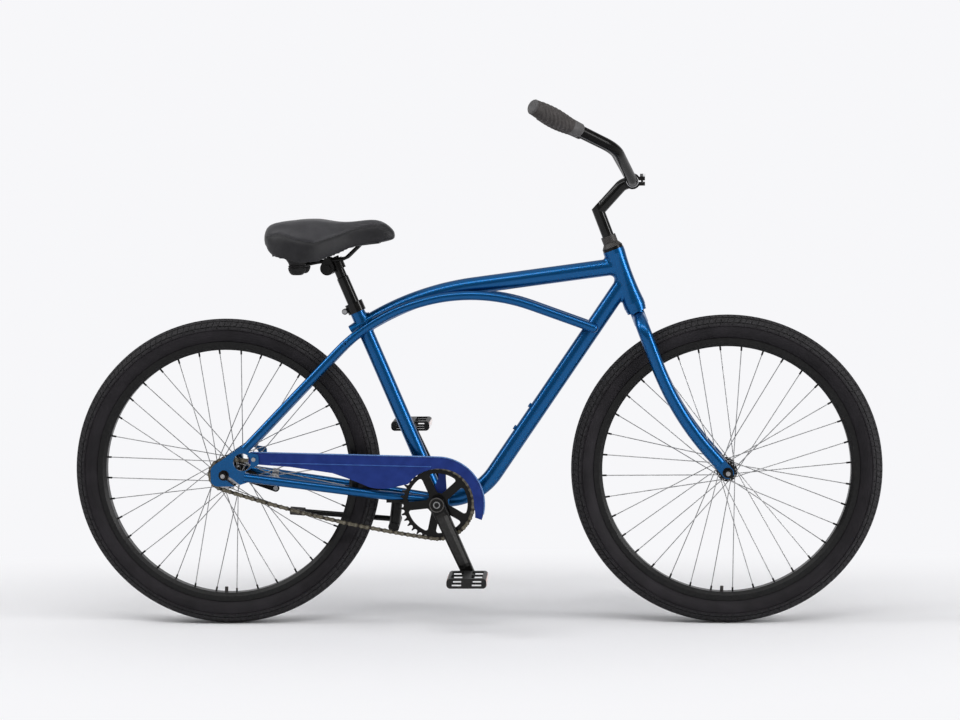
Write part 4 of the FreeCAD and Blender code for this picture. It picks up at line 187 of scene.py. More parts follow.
def plated_steel():
    """Zinc-plated steel with a mottled, slightly worn surface."""
    mat = shader("plated_steel", (0.4, 0.4, 0.41), 0.3, metallic=1.0)
    mottle = texture(mat, "Noise", 240, Detail=5)
    tint(mat, mottle.outputs["Fac"], (0.26, 0.26, 0.27), (0.5, 0.5, 0.5))
    polish(mat, mottle.outputs["Fac"], 0.22, 0.42)
    relief(mat, mottle.outputs["Fac"], 0.05, 0.0002)
    return mat


def spoke_steel():
    """Drawn stainless wire, a little dulled."""
    mat = shader("spoke_steel", (0.34, 0.34, 0.345), 0.34, metallic=0.85)
    dull = texture(mat, "Noise", 90, Detail=4)
    tint(mat, dull.outputs["Fac"], (0.24, 0.24, 0.245), (0.45, 0.45, 0.455))
    polish(mat, dull.outputs["Fac"], 0.26, 0.45)
    return mat


def chain_steel(name, dark, light):
    """Brown bronzed chain steel in random oily patches; its darker copy on the inner plates is painted shade.
    """
    mat = shader(name, light, 0.38, metallic=0.85)
    oil = texture(mat, "Noise", 130, Detail=6)
    tint(mat, oil.outputs["Fac"], dark, light, 0.25, 0.65)
    polish(mat, oil.outputs["Fac"], 0.24, 0.5)
    return mat


def tyre_rubber(name, dark, light, scale):
    """Matte black rubber with a dusty bloom and a fine moulded skin."""
    mat = shader(name, light, 0.7, specular=0.2)
    bloom = texture(mat, "Noise", scale, Detail=5)
    tint(mat, bloom.outputs["Fac"], dark, light)
    polish(mat, bloom.outputs["Fac"], 0.55, 0.8)
    skin = texture(mat, "Noise", 900, Detail=2)
    relief(mat, skin.outputs["Fac"], 0.25, 0.0003)
    return mat


def grip_rubber(name, dark, light):
    """Dark grey moulded rubber with a fine grain."""
    mat = shader(name, light, 0.72, specular=0.25)
    wear = texture(mat, "Noise", 70, Detail=5)
    tint(mat, wear.outputs["Fac"], dark, light)
    polish(mat, wear.outputs["Fac"], 0.6, 0.85)
    grain = texture(mat, "Noise", 900, Detail=2)
    relief(mat, grain.outputs["Fac"], 0.1, 0.0002)
    return mat


def saddle_vinyl(name, dark, light):
    """Grained dark grey vinyl: small pebbles, fine creases and a soft sheen."""
    mat = shader(name, light, 0.5, specular=0.3)
    wear = texture(mat, "Noise", 35, Detail=5)
    tint(mat, wear.outputs["Fac"], dark, light)
    polish(mat, wear.outputs["Fac"], 0.42, 0.6)
    pebbles = texture(mat, "Voronoi", 620)
    relief(mat, pebbles.outputs["Distance"], 0.4, 0.0005)
    creases = texture(mat, "Noise", 210, Detail=6)
    relief(mat, creases.outputs["Fac"], 0.15, 0.0006)
    return mat


def moulded_plastic():
    """Black moulded plastic with a spark-eroded texture."""
    mat = shader("moulded_plastic", (0.011, 0.011, 0.011), 0.48, specular=0.3)
    spark = texture(mat, "Noise", 700, Detail=3)
    tint(mat, spark.outputs["Fac"], (0.007, 0.007, 0.007), (0.016, 0.016, 0.016))
    polish(mat, spark.outputs["Fac"], 0.38, 0.58)
    relief(mat, spark.outputs["Fac"], 0.2, 0.0003)
    return mat


def amber_lens():
    """Amber reflector with a pattern of small prisms."""
    mat = shader("amber_lens", (0.75, 0.16, 0.01), 0.12, coat=1.0)
    prisms = texture(mat, "Voronoi", 420, Randomness=0.0)
    tint(mat, prisms.outputs["Distance"], (0.95, 0.3, 0.02), (0.55, 0.08, 0.005), 0.1, 0.6)
    relief(mat, prisms.outputs["Distance"], 0.6, 0.001)
    return mat


MATERIALS = {
    "frame_paint": candy_paint(),
    "black_steel": black_paint("satin_black_enamel", 0.15, 0.26, 0.42),
    "black_alloy": black_alloy("black_anodised_alloy", (0.003, 0.003, 0.0033), (0.01, 0.0098, 0.0098)),
    "bare_steel": plated_steel(),
    # Darker steel on the chain's inner plates and rollers, between the outer plates: painted shade
    "chain_steel": chain_steel("chain_inner_painted_shade", (0.015, 0.013, 0.011), (0.07, 0.06, 0.048)),
    "tyre_rubber": tyre_rubber("tyre_rubber", (0.009, 0.0078, 0.0095), (0.02, 0.0178, 0.0208), 22),
    "soft_rubber": grip_rubber("grip_rubber", (0.04, 0.036, 0.035), (0.066, 0.06, 0.059)),
    "saddle_vinyl": saddle_vinyl("saddle_vinyl", (0.026, 0.0255, 0.029), (0.044, 0.0435, 0.048)),
    "black_plastic": moulded_plastic(),
}
SIDE_VINYL = saddle_vinyl("saddle_side_vinyl", (0.008, 0.0078, 0.0092), (0.017, 0.0167, 0.019))
OUTER_PLATES = chain_steel("bronzed_chain_steel", (0.055, 0.049, 0.037), (0.17, 0.152, 0.112))
PIN_HEADS = chain_steel("worn_pin_heads", (0.12, 0.11, 0.09), (0.26, 0.24, 0.2))
GUARD_PAINT = guard_paint("indigo_guard_paint", (0.009, 0.026, 0.16), (0.016, 0.04, 0.22))
# Paler blue on the guard's pressed bead: a painted highlight along the ridge
BEAD_HIGHLIGHT_PAINT = guard_paint("bead_painted_highlight", (0.03, 0.08, 0.3), (0.05, 0.13, 0.4))
# Pale blue of the guard's rolled lip: a painted highlight on the edge
LIP_HIGHLIGHT_PAINT = guard_paint("lip_painted_highlight", (0.09, 0.18, 0.42), (0.16, 0.28, 0.55))
TREAD_RUBBER = tyre_rubber("tread_rubber", (0.009, 0.0085, 0.0095), (0.034, 0.0325, 0.035), 260)
CRANK_GREY = black_alloy("crank_alloy", (0.012, 0.0115, 0.011), (0.03, 0.029, 0.028))
GLOSS_BLACK = black_paint("gloss_black_enamel", 0.3, 0.14, 0.3)
BAR_BLACK = black_paint("bar_enamel", 0.07, 0.16, 0.3, 0.05)
# Paler grey of the ring round the crank's boss: a painted highlight on its rim
CRANK_RING_HIGHLIGHT = black_alloy("crank_ring_painted_highlight", (0.05, 0.048, 0.045), (0.11, 0.105, 0.1))
BUMPER_RUBBER = grip_rubber("bumper_rubber", (0.009, 0.0085, 0.0088), (0.022, 0.021, 0.0215))
GRIP_CAP = grip_rubber("grip_cap_rubber", (0.075, 0.073, 0.074), (0.12, 0.117, 0.118))
SPECIAL = {
    "front_spokes": spoke_steel(),
    "chain_guard": GUARD_PAINT,
    "headset_locknut": satin_black(),
    "crank_bolts": MATERIALS["black_alloy"],
    "stem": GLOSS_BLACK,
    "handlebar": BAR_BLACK,
    "seatpost": GLOSS_BLACK,
    "seat_clamp": GLOSS_BLACK,
}
SPECIAL["rear_spokes"] = SPECIAL["front_spokes"]
AMBER = amber_lens()
NIPPLE_R = 0.2555
LOWER_CUP_TOP = 0.05
CHAIN_LINE = -0.047
OUTER_PLATE_SIDE = 0.0029
PIN_HEAD_SIDE = 0.0042
REFLECTOR_X = 0.0385
REFLECTOR_Z = 0.0065


def paint_faces(node, mat, chosen):
    """Give a second material to the faces of a node whose middle is chosen."""
    obj = NODES[node]
    obj.data.materials.append(mat)
    last = len(obj.data.materials) - 1
    for face in obj.data.polygons:
        if chosen(obj.matrix_world @ face.center):
            face.material_index = last


def dress_nodes():
    """Each CAD node takes the material of its slot in the record, and a few take one of their own."""
    for row in frame["record"]["subparts"]:
        mesh = NODES[row["node"]].data
        mesh.materials.clear()
        mesh.materials.append(SPECIAL.get(row["node"], MATERIALS[row["material_slot"]]))
    black = MATERIALS["black_alloy"]
    for node, axle in (("front_spokes", FRONT_AXLE), ("rear_spokes", REAR_AXLE)):
        paint_faces(node, black, lambda spot: math.hypot(spot.x - axle.x, spot.z - axle.z) > NIPPLE_R)
    paint_faces("headset_cups", MATERIALS["frame_paint"],
                lambda spot: (spot - HEAD_BASE).dot(HEAD_UP) < LOWER_CUP_TOP)
    # Outer plates and pin heads take lighter steel; the inner plates between them keep the darker steel as
    # painted shade
    paint_faces("chain", OUTER_PLATES, lambda spot: abs(spot.y - CHAIN_LINE) > OUTER_PLATE_SIDE)
    paint_faces("chain", PIN_HEADS, lambda spot: abs(spot.y - CHAIN_LINE) > PIN_HEAD_SIDE)
    for node, middle in PEDALS.items():
        paint_faces(node, AMBER, lambda spot: (abs(spot.x - middle.x) > REFLECTOR_X
                                               and abs(spot.z - middle.z) < REFLECTOR_Z))


def piece(name, verts, faces, mat, body, sharp=math.radians(35)):
    """A new mesh object that rides on a body."""
    mesh = bpy.data.meshes.new(name)
    mesh.from_pydata([tuple(v) for v in verts], [], faces)
    mesh.validate()
    mesh.materials.append(mat)
    obj = bpy.data.objects.new(name, mesh)
    bpy.context.scene.collection.objects.link(obj)
    mesh.shade_smooth()
    mesh.set_sharp_from_angle(angle=sharp)
    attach(obj, body)
    return obj


def lattice_faces(rows, columns):
    """Quads of a grid of points that closes on itself both ways."""
    faces = []
    for i in range(rows):
        after = (i + 1) % rows
        for j in range(columns):
            beside = (j + 1) % columns
            faces.append((i * columns + j, i * columns + beside, after * columns + beside, after * columns + j))
    return faces


# Tyres with moulded tread

TYRE_R = 0.332
TREAD_ARC_R = 0.02574
TREAD_EDGE_R = 0.3125
PITCHES = 78
SIPE_HALF = 0.0009
SIPE_WALL = 0.0004
GROOVE_DEPTH = 0.0018
SIPE_DEPTH = 0.0013
SLANT = 0.006
SLANT_MIDDLE = 0.0155
# Across the tread from the crown: the place of each line, its depth share, and which sipes cut it
TREAD_LINES = (
    (0.0, 0, 0), (0.0042, 0, 0), (0.0046, 1, 0), (0.006, 1, 0), (0.0064, 0, 2), (0.011, 0, 2),
    (0.0156, 0, 2), (0.016, 1, 0), (0.0174, 1, 0), (0.0178, 0, 2), (0.0236, 0, 2), (0.0286, 0, 2),
    (0.029, 1, 0), (0.0308, 1, 0), (0.0312, 0, 1), (0.033, 0, 1), (0.035, 0, 1),
)
# Sidewall from the tread's edge to the bead: radius from the axle and half width
SIDEWALL = (
    (0.3095, 0.0257), (0.3088, 0.0244), (0.3074, 0.0244), (0.3067, 0.0257), (0.303, 0.0254), (0.299, 0.0245),
    (0.295, 0.0228), (0.291, 0.0204), (0.287, 0.017), (0.2833, 0.0135), (0.2795, 0.0135),
)
TYRE_INSIDE = ((0.2795, 0.0105), (0.2833, 0.0105), (0.312, 0.0185), (0.3255, 0.0))


def slant_at(across):
    """How far the tread's sipes have slanted round the tyre at a distance from the crown."""
    return SLANT * (1 - abs(across - SLANT_MIDDLE) / SLANT_MIDDLE)


def tread_section():
    """Closed section of the tyre: radius, side, depth share, sipe rows and slant of each line."""
    half = []
    for across, deep, sipes in TREAD_LINES:
        turn = across / TREAD_ARC_R
        radius = TYRE_R - TREAD_ARC_R * (1 - math.cos(turn))
        half.append((radius, TREAD_ARC_R * math.sin(turn), deep, sipes, slant_at(across), turn))
    for radius, side in SIDEWALL + TYRE_INSIDE:
        half.append((radius, side, 0, 0, 0, 0))
    mirrored = [(r, -y, d, s, -lean, -turn) for r, y, d, s, lean, turn in half[1:-1]]
    return half + mirrored[::-1]


def tyre(name, centre, body):
    section = tread_section()
    offsets = (-SIPE_HALF - SIPE_WALL, -SIPE_HALF, SIPE_HALF, SIPE_HALF + SIPE_WALL)
    pitch = 2 * math.pi / PITCHES
    verts = []
    for repeat in range(PITCHES):
        for sipe in (0, 1):
            for index, offset in enumerate(offsets):
                cut = index in (1, 2)
                for radius, side, deep, sipes, lean, turn in section:
                    sunk = GROOVE_DEPTH * deep
                    if cut and sipes > sipe:
                        sunk = SIPE_DEPTH
                    angle = pitch * (repeat + sipe / 2) + (offset + lean) / TYRE_R
                    reach = radius - sunk * math.cos(turn)
                    width = side - sunk * math.sin(turn)
                    verts.append(centre + Vector((reach * math.cos(angle), width, reach * math.sin(angle))))
    rows = PITCHES * 2 * len(offsets)
    faces = lattice_faces(rows, len(section))
    obj = piece(name + "_moulded", verts, faces, MATERIALS["tyre_rubber"], body)
    obj.data.materials.append(TREAD_RUBBER)
    for face in obj.data.polygons:
        spot = face.center - centre
        face.material_index = int(math.hypot(spot.x, spot.z) > TREAD_EDGE_R)
    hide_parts(name)


# Saddle cover

# Line of the panel seam seen from the side
SEAM = (
    (-0.43, 0.842), (-0.4, 0.848), (-0.3665, 0.8352), (-0.3287, 0.8285), (-0.2927, 0.8394),
    (-0.2542, 0.8538), (-0.2054, 0.8638),
)
SEAM_DEPTH = 0.0022
SEAM_WIDTH = 0.006
SEAM_FACING = 0.15
SEAM_STEEPNESS = 4
COVER_VOXEL = 0.004
COVER_CAP = 0.0015
COVER_FRAMES = 20
COVER_PRESSURE = 4
COVER_SMOOTHING = 0.5
COVER_FIRST_PASSES = 6
COVER_LAST_PASSES = 3
SKIRT_TOP = 0.82
SKIRT_HEIGHT = 0.025
SKIRT_DROP = 0.0055
SKIRT_BACK = -0.382
SKIRT_BACK_RUN = 0.025
SKIRT_BACK_DROP = 0.004
SKIRT_OUT = 0.01
CROWN_LOW = 0.858
CROWN_RISE = 0.018
CROWN_FRONT = -0.33
CROWN_RUN = 0.055
CROWN_DROP = 0.0035


def copy_of(node, name):
    mesh = NODES[node].data.copy()
    obj = bpy.data.objects.new(name, mesh)
    bpy.context.scene.collection.objects.link(obj)
    return obj


def apply_modifier(obj, kind, **settings):
    mod = obj.modifiers.new(kind.lower(), kind)
    for name, value in settings.items():
        setattr(mod, name, value)
    bpy.context.view_layer.objects.active = obj
    bpy.ops.object.modifier_apply(modifier=mod.name)


def inflate(obj, cap, frames):
    """Swell a closed mesh as cloth under pressure, with no point moved further than the cap."""
    start = [v.co.copy() for v in obj.data.vertices]
    mod = obj.modifiers.new("cloth", "CLOTH")
    mod.settings.use_pressure = True
    mod.settings.uniform_pressure_force = COVER_PRESSURE
    mod.settings.effector_weights.gravity = 0
    scene = bpy.context.scene
    for number in range(1, frames + 1):
        scene.frame_set(number)
    shaped = obj.evaluated_get(bpy.context.evaluated_depsgraph_get())
    moved = [v.co.copy() for v in shaped.data.vertices]
    obj.modifiers.remove(mod)
    scene.frame_set(1)
    for vertex, old, new in zip(obj.data.vertices, start, moved):
        step = new - old
        if step.length > cap:
            step *= cap / step.length
        vertex.co = old + step


def share_of(part, whole):
    """How much of a run is covered, from 0 to 1."""
    return min(1.0, max(0.0, part / whole))


def pull_down(mesh):
    """Stretch the cover's skirt over the base's edge and settle its padded rear."""
    for vertex in mesh.vertices:
        low = share_of(SKIRT_TOP - vertex.co.z, SKIRT_HEIGHT)
        behind = low * share_of(SKIRT_BACK - vertex.co.x, SKIRT_BACK_RUN)
        high = share_of(vertex.co.z - CROWN_LOW, CROWN_RISE) * share_of(CROWN_FRONT - vertex.co.x, CROWN_RUN)
        vertex.co.z -= SKIRT_DROP * low + SKIRT_BACK_DROP * behind + CROWN_DROP * high
        vertex.co.x -= SKIRT_OUT * behind


def seam_height(x):
    """Height of the panel seam at a place along the saddle."""
    for (start, low), (end, high) in zip(SEAM, SEAM[1:]):
        if x <= end:
            return low + (high - low) * max(0.0, x - start) / (end - start)
    return SEAM[-1][1]


def seam_distance(point):
    """Distance from the panel seam, seen from the side."""
    best = 1.0
    spot = Vector((point.x, point.z))
    for start, end in zip(SEAM, SEAM[1:]):
        a, b = Vector(start), Vector(end)
        along = max(0.0, min(1.0, (spot - a).dot(b - a) / (b - a).length_squared))
        best = min(best, (spot - a - (b - a) * along).length)
    return best


def saddle_cover():
    obj = copy_of("saddle_cover", "saddle_cover_sewn")
    obj.data.materials.clear()
    obj.data.materials.append(MATERIALS["saddle_vinyl"])
    apply_modifier(obj, "REMESH", mode="VOXEL", voxel_size=COVER_VOXEL)
    apply_modifier(obj, "SMOOTH", factor=COVER_SMOOTHING, iterations=COVER_FIRST_PASSES)
    inflate(obj, COVER_CAP, COVER_FRAMES)
    apply_modifier(obj, "SMOOTH", factor=COVER_SMOOTHING, iterations=COVER_LAST_PASSES)
    apply_modifier(obj, "SUBSURF", levels=1, render_levels=1)
    mesh = obj.data
    pull_down(mesh)
    normals = [v.normal.copy() for v in mesh.vertices]
    for vertex, normal in zip(mesh.vertices, normals):
        if abs(normal.y) < SEAM_FACING:
            continue
        away = seam_distance(vertex.co) / SEAM_WIDTH
        vertex.co -= normal * SEAM_DEPTH * math.exp(-away * away * SEAM_STEEPNESS)
    mesh.materials.append(SIDE_VINYL)
    for face in mesh.polygons:
        face.material_index = int(face.center.z < seam_height(face.center.x))
    mesh.shade_smooth()
    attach(obj, "saddle")
    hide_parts("saddle_cover")


# How far added pieces sink into what carries them
SUNK = 0.0003


# Chain guard, whose inner edge follows the ring and whose outer edge has a rolled lip; lip and bead are painted
# paler as painted highlights

GUARD_EDGE_R = 0.0785
GUARD_TIP_R = 0.086
GUARD_TIP_TURN = math.radians(-20.5)
GUARD_TIP_END = math.radians(-4)
GUARD_TOP_TURN = math.radians(95)
GUARD_FACE = -0.0551
GUARD_PLATE = -0.0535
GUARD_OUTER_R = 0.088
FRONT_FACING = -0.9
RIM_FACING = 0.3
RIM_DOWN = -0.2
SAME_POINT = 1e-6
LIP_R = 0.0014
LIP_STEPS = 12


def chain_guard():
    obj = copy_of("chain_guard", "chain_guard_pressed")
    for vertex in obj.data.vertices:
        spot = obj.matrix_world @ vertex.co - BOTTOM_BRACKET
        radius = math.hypot(spot.x, spot.z)
        turn = math.atan2(spot.z, spot.x)
        if radius > GUARD_TIP_R + SUNK or not GUARD_TIP_TURN < turn < GUARD_TOP_TURN:
            continue
        share = min(1.0, (turn - GUARD_TIP_TURN) / (GUARD_TIP_END - GUARD_TIP_TURN))
        wanted = GUARD_TIP_R + (GUARD_EDGE_R - GUARD_TIP_R) * share
        pull = min(1.0, wanted / radius)
        vertex.co.x -= spot.x * (1 - pull)
        vertex.co.z -= spot.z * (1 - pull)
    # Faces proud of the guard's front face, the bead, take the paler blue as a painted highlight
    obj.data.materials.append(BEAD_HIGHLIGHT_PAINT)
    for face in obj.data.polygons:
        face.material_index = int((obj.matrix_world @ face.center).y < GUARD_FACE)
    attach(obj, "frame")
    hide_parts("chain_guard")
    rolled_edge(obj.data)


def outer_edges(mesh):
    """Neighbours of each point on the outer and upper border of the guard's front face."""
    shape = bmesh.new()
    shape.from_mesh(mesh)
    bmesh.ops.remove_doubles(shape, verts=shape.verts, dist=SAME_POINT)
    beside = {}
    places = {}
    for edge in shape.edges:
        if len(edge.link_faces) != 2:
            continue
        front, rim = sorted(edge.link_faces, key=lambda face: face.normal.y)
        middle = (edge.verts[0].co + edge.verts[1].co) / 2
        way = middle - BOTTOM_BRACKET
        if front.normal.y > FRONT_FACING or abs(rim.normal.y) > RIM_FACING or middle.y > GUARD_PLATE:
            continue
        if rim.normal.z < RIM_DOWN or rim.normal.dot(way) < 0 or way.length < GUARD_OUTER_R:
            continue
        a, b = edge.verts[0].index, edge.verts[1].index
        places[a], places[b] = edge.verts[0].co.copy(), edge.verts[1].co.copy()
        beside.setdefault(a, []).append(b)
        beside.setdefault(b, []).append(a)
    shape.free()
    return beside, places


def longest_line(beside):
    """Longest run of neighbours that starts at a loose end and passes no point twice."""
    best = []
    for start, others in beside.items():
        if len(others) != 1:
            continue
        line, passed = [start], {start}
        onward = others
        while onward:
            line.append(onward[0])
            passed.add(onward[0])
            onward = [other for other in beside[line[-1]] if other not in passed]
        if len(line) > len(best):
            best = line
    return best


def rolled_edge(mesh):
    """Rounded lip along the guard's outer border, painted pale blue as a painted highlight on the rolled edge.
    """
    beside, places = outer_edges(mesh)
    points = [places[spot] for spot in longest_line(beside)]
    verts = []
    for index, spot in enumerate(points):
        along = (points[min(index + 1, len(points) - 1)] - points[max(index - 1, 0)]).normalized()
        out = along.cross(CROSSWAYS)
        for row in range(LIP_STEPS):
            turn = 2 * math.pi * row / LIP_STEPS
            verts.append(spot + (out * math.cos(turn) + CROSSWAYS * math.sin(turn)) * LIP_R)
    faces = [tuple(range(LIP_STEPS)), tuple(range(len(verts) - 1, len(verts) - LIP_STEPS - 1, -1))]
    for index in range(len(points) - 1):
        for row in range(LIP_STEPS):
            after = (row + 1) % LIP_STEPS
            a = index * LIP_STEPS
            faces.append((a + row, a + LIP_STEPS + row, a + LIP_STEPS + after, a + after))
    # The lip's pale blue is a painted highlight on the rolled edge
    piece("chain_guard_lip", verts, faces, LIP_HIGHLIGHT_PAINT, "frame", math.radians(60))


# Crank arms with a roofed face and a capped boss

CRANK_AIM = Vector((0.403545, 0, -0.914960))
CRANK_FACE = 0.0715
ROOF_START = 0.0205
ROOF_END = 0.147
ROOF_HALF = (0.0125, 0.0105)
ROOF_RIDGE = 0.004
ROOF_HEIGHT = 0.0044
ROOF_TAPER = 0.008
ROOF_ROOT = SUNK * 4
CAP_FACE = 0.0736
CAP_RING_R = 0.0064
BOSS_RING_R = 0.0147
CRANK_RING_THICK = 0.0011


def cranks():
    for name, side in (("right", -1), ("left", 1)):
        aim = CRANK_AIM * -side
        across = Vector((-aim.z, 0, aim.x)) * -side
        face = BOTTOM_BRACKET + CROSSWAYS * side * CRANK_FACE
        up = CROSSWAYS * side
        verts = []
        for along, half, lift in ((ROOF_START, ROOF_HALF[0], 0.0), (ROOF_START + ROOF_TAPER, ROOF_HALF[0], 1.0),
                                  (ROOF_END - ROOF_TAPER, ROOF_HALF[1], 1.0), (ROOF_END, ROOF_HALF[1], 0.0)):
            spine = face + aim * along
            verts.append(spine - across * half - up * SUNK)
            verts.append(spine + across * ROOF_RIDGE + up * (ROOF_HEIGHT * lift + SUNK))
            verts.append(spine + across * half - up * SUNK)
            verts.append(spine - up * ROOF_ROOT)
        faces = [(0, 1, 2, 3), (15, 14, 13, 12)]
        for row in range(3):
            for column in range(4):
                a, b = row * 4 + column, row * 4 + (column + 1) % 4
                faces.append((a, a + 4, b + 4, b))
        piece("crank_roof_" + name, verts, faces, CRANK_GREY, "crank", math.radians(5))
        cap = BOTTOM_BRACKET + CROSSWAYS * side * CAP_FACE
        hoop("crank_cap_ring_" + name, cap, CROSSWAYS, CAP_RING_R, CRANK_RING_THICK,
             MATERIALS["bare_steel"], "crank")
        # The ring round the boss takes the paler grey as a painted highlight on the boss's rim
        hoop("crank_boss_ring_" + name, cap, CROSSWAYS, BOSS_RING_R, CRANK_RING_THICK,
             CRANK_RING_HIGHLIGHT, "crank")


# Fillet welds where the tubes meet

WELD_STEPS = 96
WELD_ROWS = 8
WELD_ROUNDS = 4
MAIN_TUBE_R = 0.018
SEAT_TUBE_R = 0.0159
SHELL_R = 0.02
HEAD_WAIST_R = 0.02
HEAD_FLARE = 0.003
HEAD_WAIST_UP = 0.065
HEAD_WAIST_RUN = 0.056
HEAD_WELD = 0.009
SEAT_WELD = 0.007
SHELL_WELD = 0.006


def head_radius(up):
    """Outer radius of the waisted head tube at a height."""
    return HEAD_WAIST_R + HEAD_FLARE * min(1.0, abs(up - HEAD_WAIST_UP) / HEAD_WAIST_RUN) ** 2


def across_from(axis_point, axis_aim, spot):
    """The part of the way from an axis to a point that is square to the axis, and the place along it."""
    way = spot - axis_point
    up = way.dot(axis_aim)
    return way - axis_aim * up, up


def weld_ring(start, aim, radius, target, target_aim, target_r):
    """Closed line where a tube from start along aim leaves a round target."""
    side = aim.orthogonal().normalized()
    other = aim.cross(side)
    slope = aim - target_aim * aim.dot(target_aim)
    points = []
    for step in range(WELD_STEPS):
        turn = 2 * math.pi * step / WELD_STEPS
        base = start + (side * math.cos(turn) + other * math.sin(turn)) * radius
        outward = across_from(target, target_aim, base)[0]
        b = 2 * outward.dot(slope)
        spot = base
        for again in range(WELD_ROUNDS):
            reach = target_r(across_from(target, target_aim, spot)[1])
            root = max(0.0, b * b - 4 * slope.dot(slope) * (outward.dot(outward) - reach ** 2))
            spot = base + aim * ((-b + math.sqrt(root)) / (2 * slope.dot(slope)))
        points.append(spot)
    return points


def weld(name, start, aim, radius, target, target_aim, target_r, size):
    """Hollow fillet that runs from the tube's side onto the target's side."""
    ring = weld_ring(start, aim, radius, target, target_aim, target_r)
    verts = []
    for index, spot in enumerate(ring):
        along = (ring[(index + 1) % WELD_STEPS] - ring[index - 1]).normalized()
        tube_out = across_from(start, aim, spot)[0].normalized()
        target_out = across_from(target, target_aim, spot)[0].normalized()
        away = target_out.cross(along).normalized()
        if away.dot(tube_out) < 0:
            away = -away
        on_tube = spot + aim * size - tube_out * SUNK
        outward, up = across_from(target, target_aim, spot + away * size)
        on_target = target + target_aim * up + outward.normalized() * (target_r(up) - SUNK)
        for row in range(WELD_ROWS + 1):
            share = row / WELD_ROWS
            verts.append(on_tube * (1 - share) ** 2 + spot * 2 * share * (1 - share) + on_target * share ** 2)
        verts.append(spot - (tube_out + target_out) * size / 4)
    faces = lattice_faces(WELD_STEPS, WELD_ROWS + 2)
    piece(name, verts, faces, MATERIALS["frame_paint"], "frame", math.radians(60))


def welds():
    shell = (BOTTOM_BRACKET, CROSSWAYS, lambda up: SHELL_R)
    head = (HEAD_BASE, HEAD_UP, head_radius)
    seat = (BOTTOM_BRACKET, SEAT_UP, lambda up: SEAT_TUBE_R)
    weld("weld_top_head", TOP_TUBE_HEAD, TOP_TUBE_AIM, MAIN_TUBE_R, *head, HEAD_WELD)
    weld("weld_down_head", DOWN_TUBE_HEAD, DOWN_TUBE_AIM, MAIN_TUBE_R, *head, HEAD_WELD)
    weld("weld_top_seat", TOP_TUBE_TAIL, TOP_TUBE_TAIL_AIM, MAIN_TUBE_R, *seat, SEAT_WELD)
    weld("weld_down_shell", BOTTOM_BRACKET, DOWN_TUBE_TAIL_AIM, MAIN_TUBE_R, *shell, SHELL_WELD)
    weld("weld_seat_shell", BOTTOM_BRACKET, SEAT_UP, SEAT_TUBE_R, *shell, SHELL_WELD)


# Turned pieces: ribbed grips, bright rings on the bar, bulbs of the saddle's bumpers

TURN_STEPS = 96
HOOP_STEPS = 12
BAR_RING_SIDE = 0.0203
BAR_RING_R = 0.0117
BAR_RING_THICK = 0.0015
# Along the grip from the bar's end, and radius
GRIP_PROFILE = (
    (-0.004, 0.0), (-0.004, 0.0115), (-0.0035, 0.0132), (-0.0018, 0.0148), (0.0, 0.0158), (0.0012, 0.0152),
    (0.0024, 0.0158), (0.008, 0.0163), (0.02, 0.0174), (0.034, 0.0182), (0.047, 0.0185), (0.06, 0.0181),
    (0.075, 0.0168), (0.089, 0.0152), (0.1, 0.0145), (0.112, 0.0142), (0.1222, 0.014), (0.1236, 0.0134),
    (0.124, 0.0126), (0.124, 0.01115), (0.004, 0.01115), (0.004, 0.0),
)
GRIP_STEP = 0.0008
RIB_START = 0.008
RIB_END = 0.098
RIB_PITCH = 0.0104
RIB_BOW = 0.014
RIB_HEIGHT = 0.0006
RIB_MIN_R = 0.012


def turned_faces(first, rows):
    """Quads between rows of points that are turned about an axis."""
    faces = []
    for row in range(rows - 1):
        below = first + row * TURN_STEPS
        above = below + TURN_STEPS
        for step in range(TURN_STEPS):
            after = (step + 1) % TURN_STEPS
            faces.append((below + step, below + after, above + after, above + step))
    return faces


def grip_rows():
    """The grip's profile with close rows where it is ribbed."""
    rows = []
    for (start, low), (end, high) in zip(GRIP_PROFILE, GRIP_PROFILE[1:]):
        steps = 1
        if RIB_START <= start < end <= RIB_END + GRIP_STEP * 3:
            steps = max(1, round((end - start) / GRIP_STEP))
        for step in range(steps):
            share = step / steps
            rows.append((start + (end - start) * share, low + (high - low) * share))
    rows.append(GRIP_PROFILE[-1])
    return rows


def rib(along, turn):
    """Height of the curved ribs at a place on the grip."""
    if along < RIB_START or along > RIB_END:
        return 0.0
    edge = min(along - RIB_START, RIB_END - along)
    wave = math.cos(2 * math.pi * (along + RIB_BOW * math.cos(turn)) / RIB_PITCH)
    return RIB_HEIGHT * wave * min(1.0, edge / RIB_PITCH)


def grips():
    rows = grip_rows()
    verts = []
    faces = []
    light = []
    for mirror in (1, -1):
        end = Vector((GRIP_END.x, GRIP_END.y * mirror, GRIP_END.z))
        aim = Vector((GRIP_INWARD.x, GRIP_INWARD.y * mirror, GRIP_INWARD.z))
        up = (Vector((0, 0, 1)) - aim * aim.z).normalized()
        side = aim.cross(up)
        first = len(verts)
        for along, radius in rows:
            for step in range(TURN_STEPS):
                turn = 2 * math.pi * step / TURN_STEPS
                reach = radius + (rib(along, turn) if radius > RIB_MIN_R else 0)
                verts.append(end + aim * along + (up * math.cos(turn) + side * math.sin(turn)) * reach)
        faces += turned_faces(first, len(rows))
        for along, radius in rows[:-1]:
            light += [along < 0 or along > RIB_END] * TURN_STEPS
    obj = piece("grips_ribbed", verts, faces, MATERIALS["soft_rubber"], "handlebar")
    obj.data.materials.append(GRIP_CAP)
    for face, pale in zip(obj.data.polygons, light):
        face.material_index = int(pale)
    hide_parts("grips")


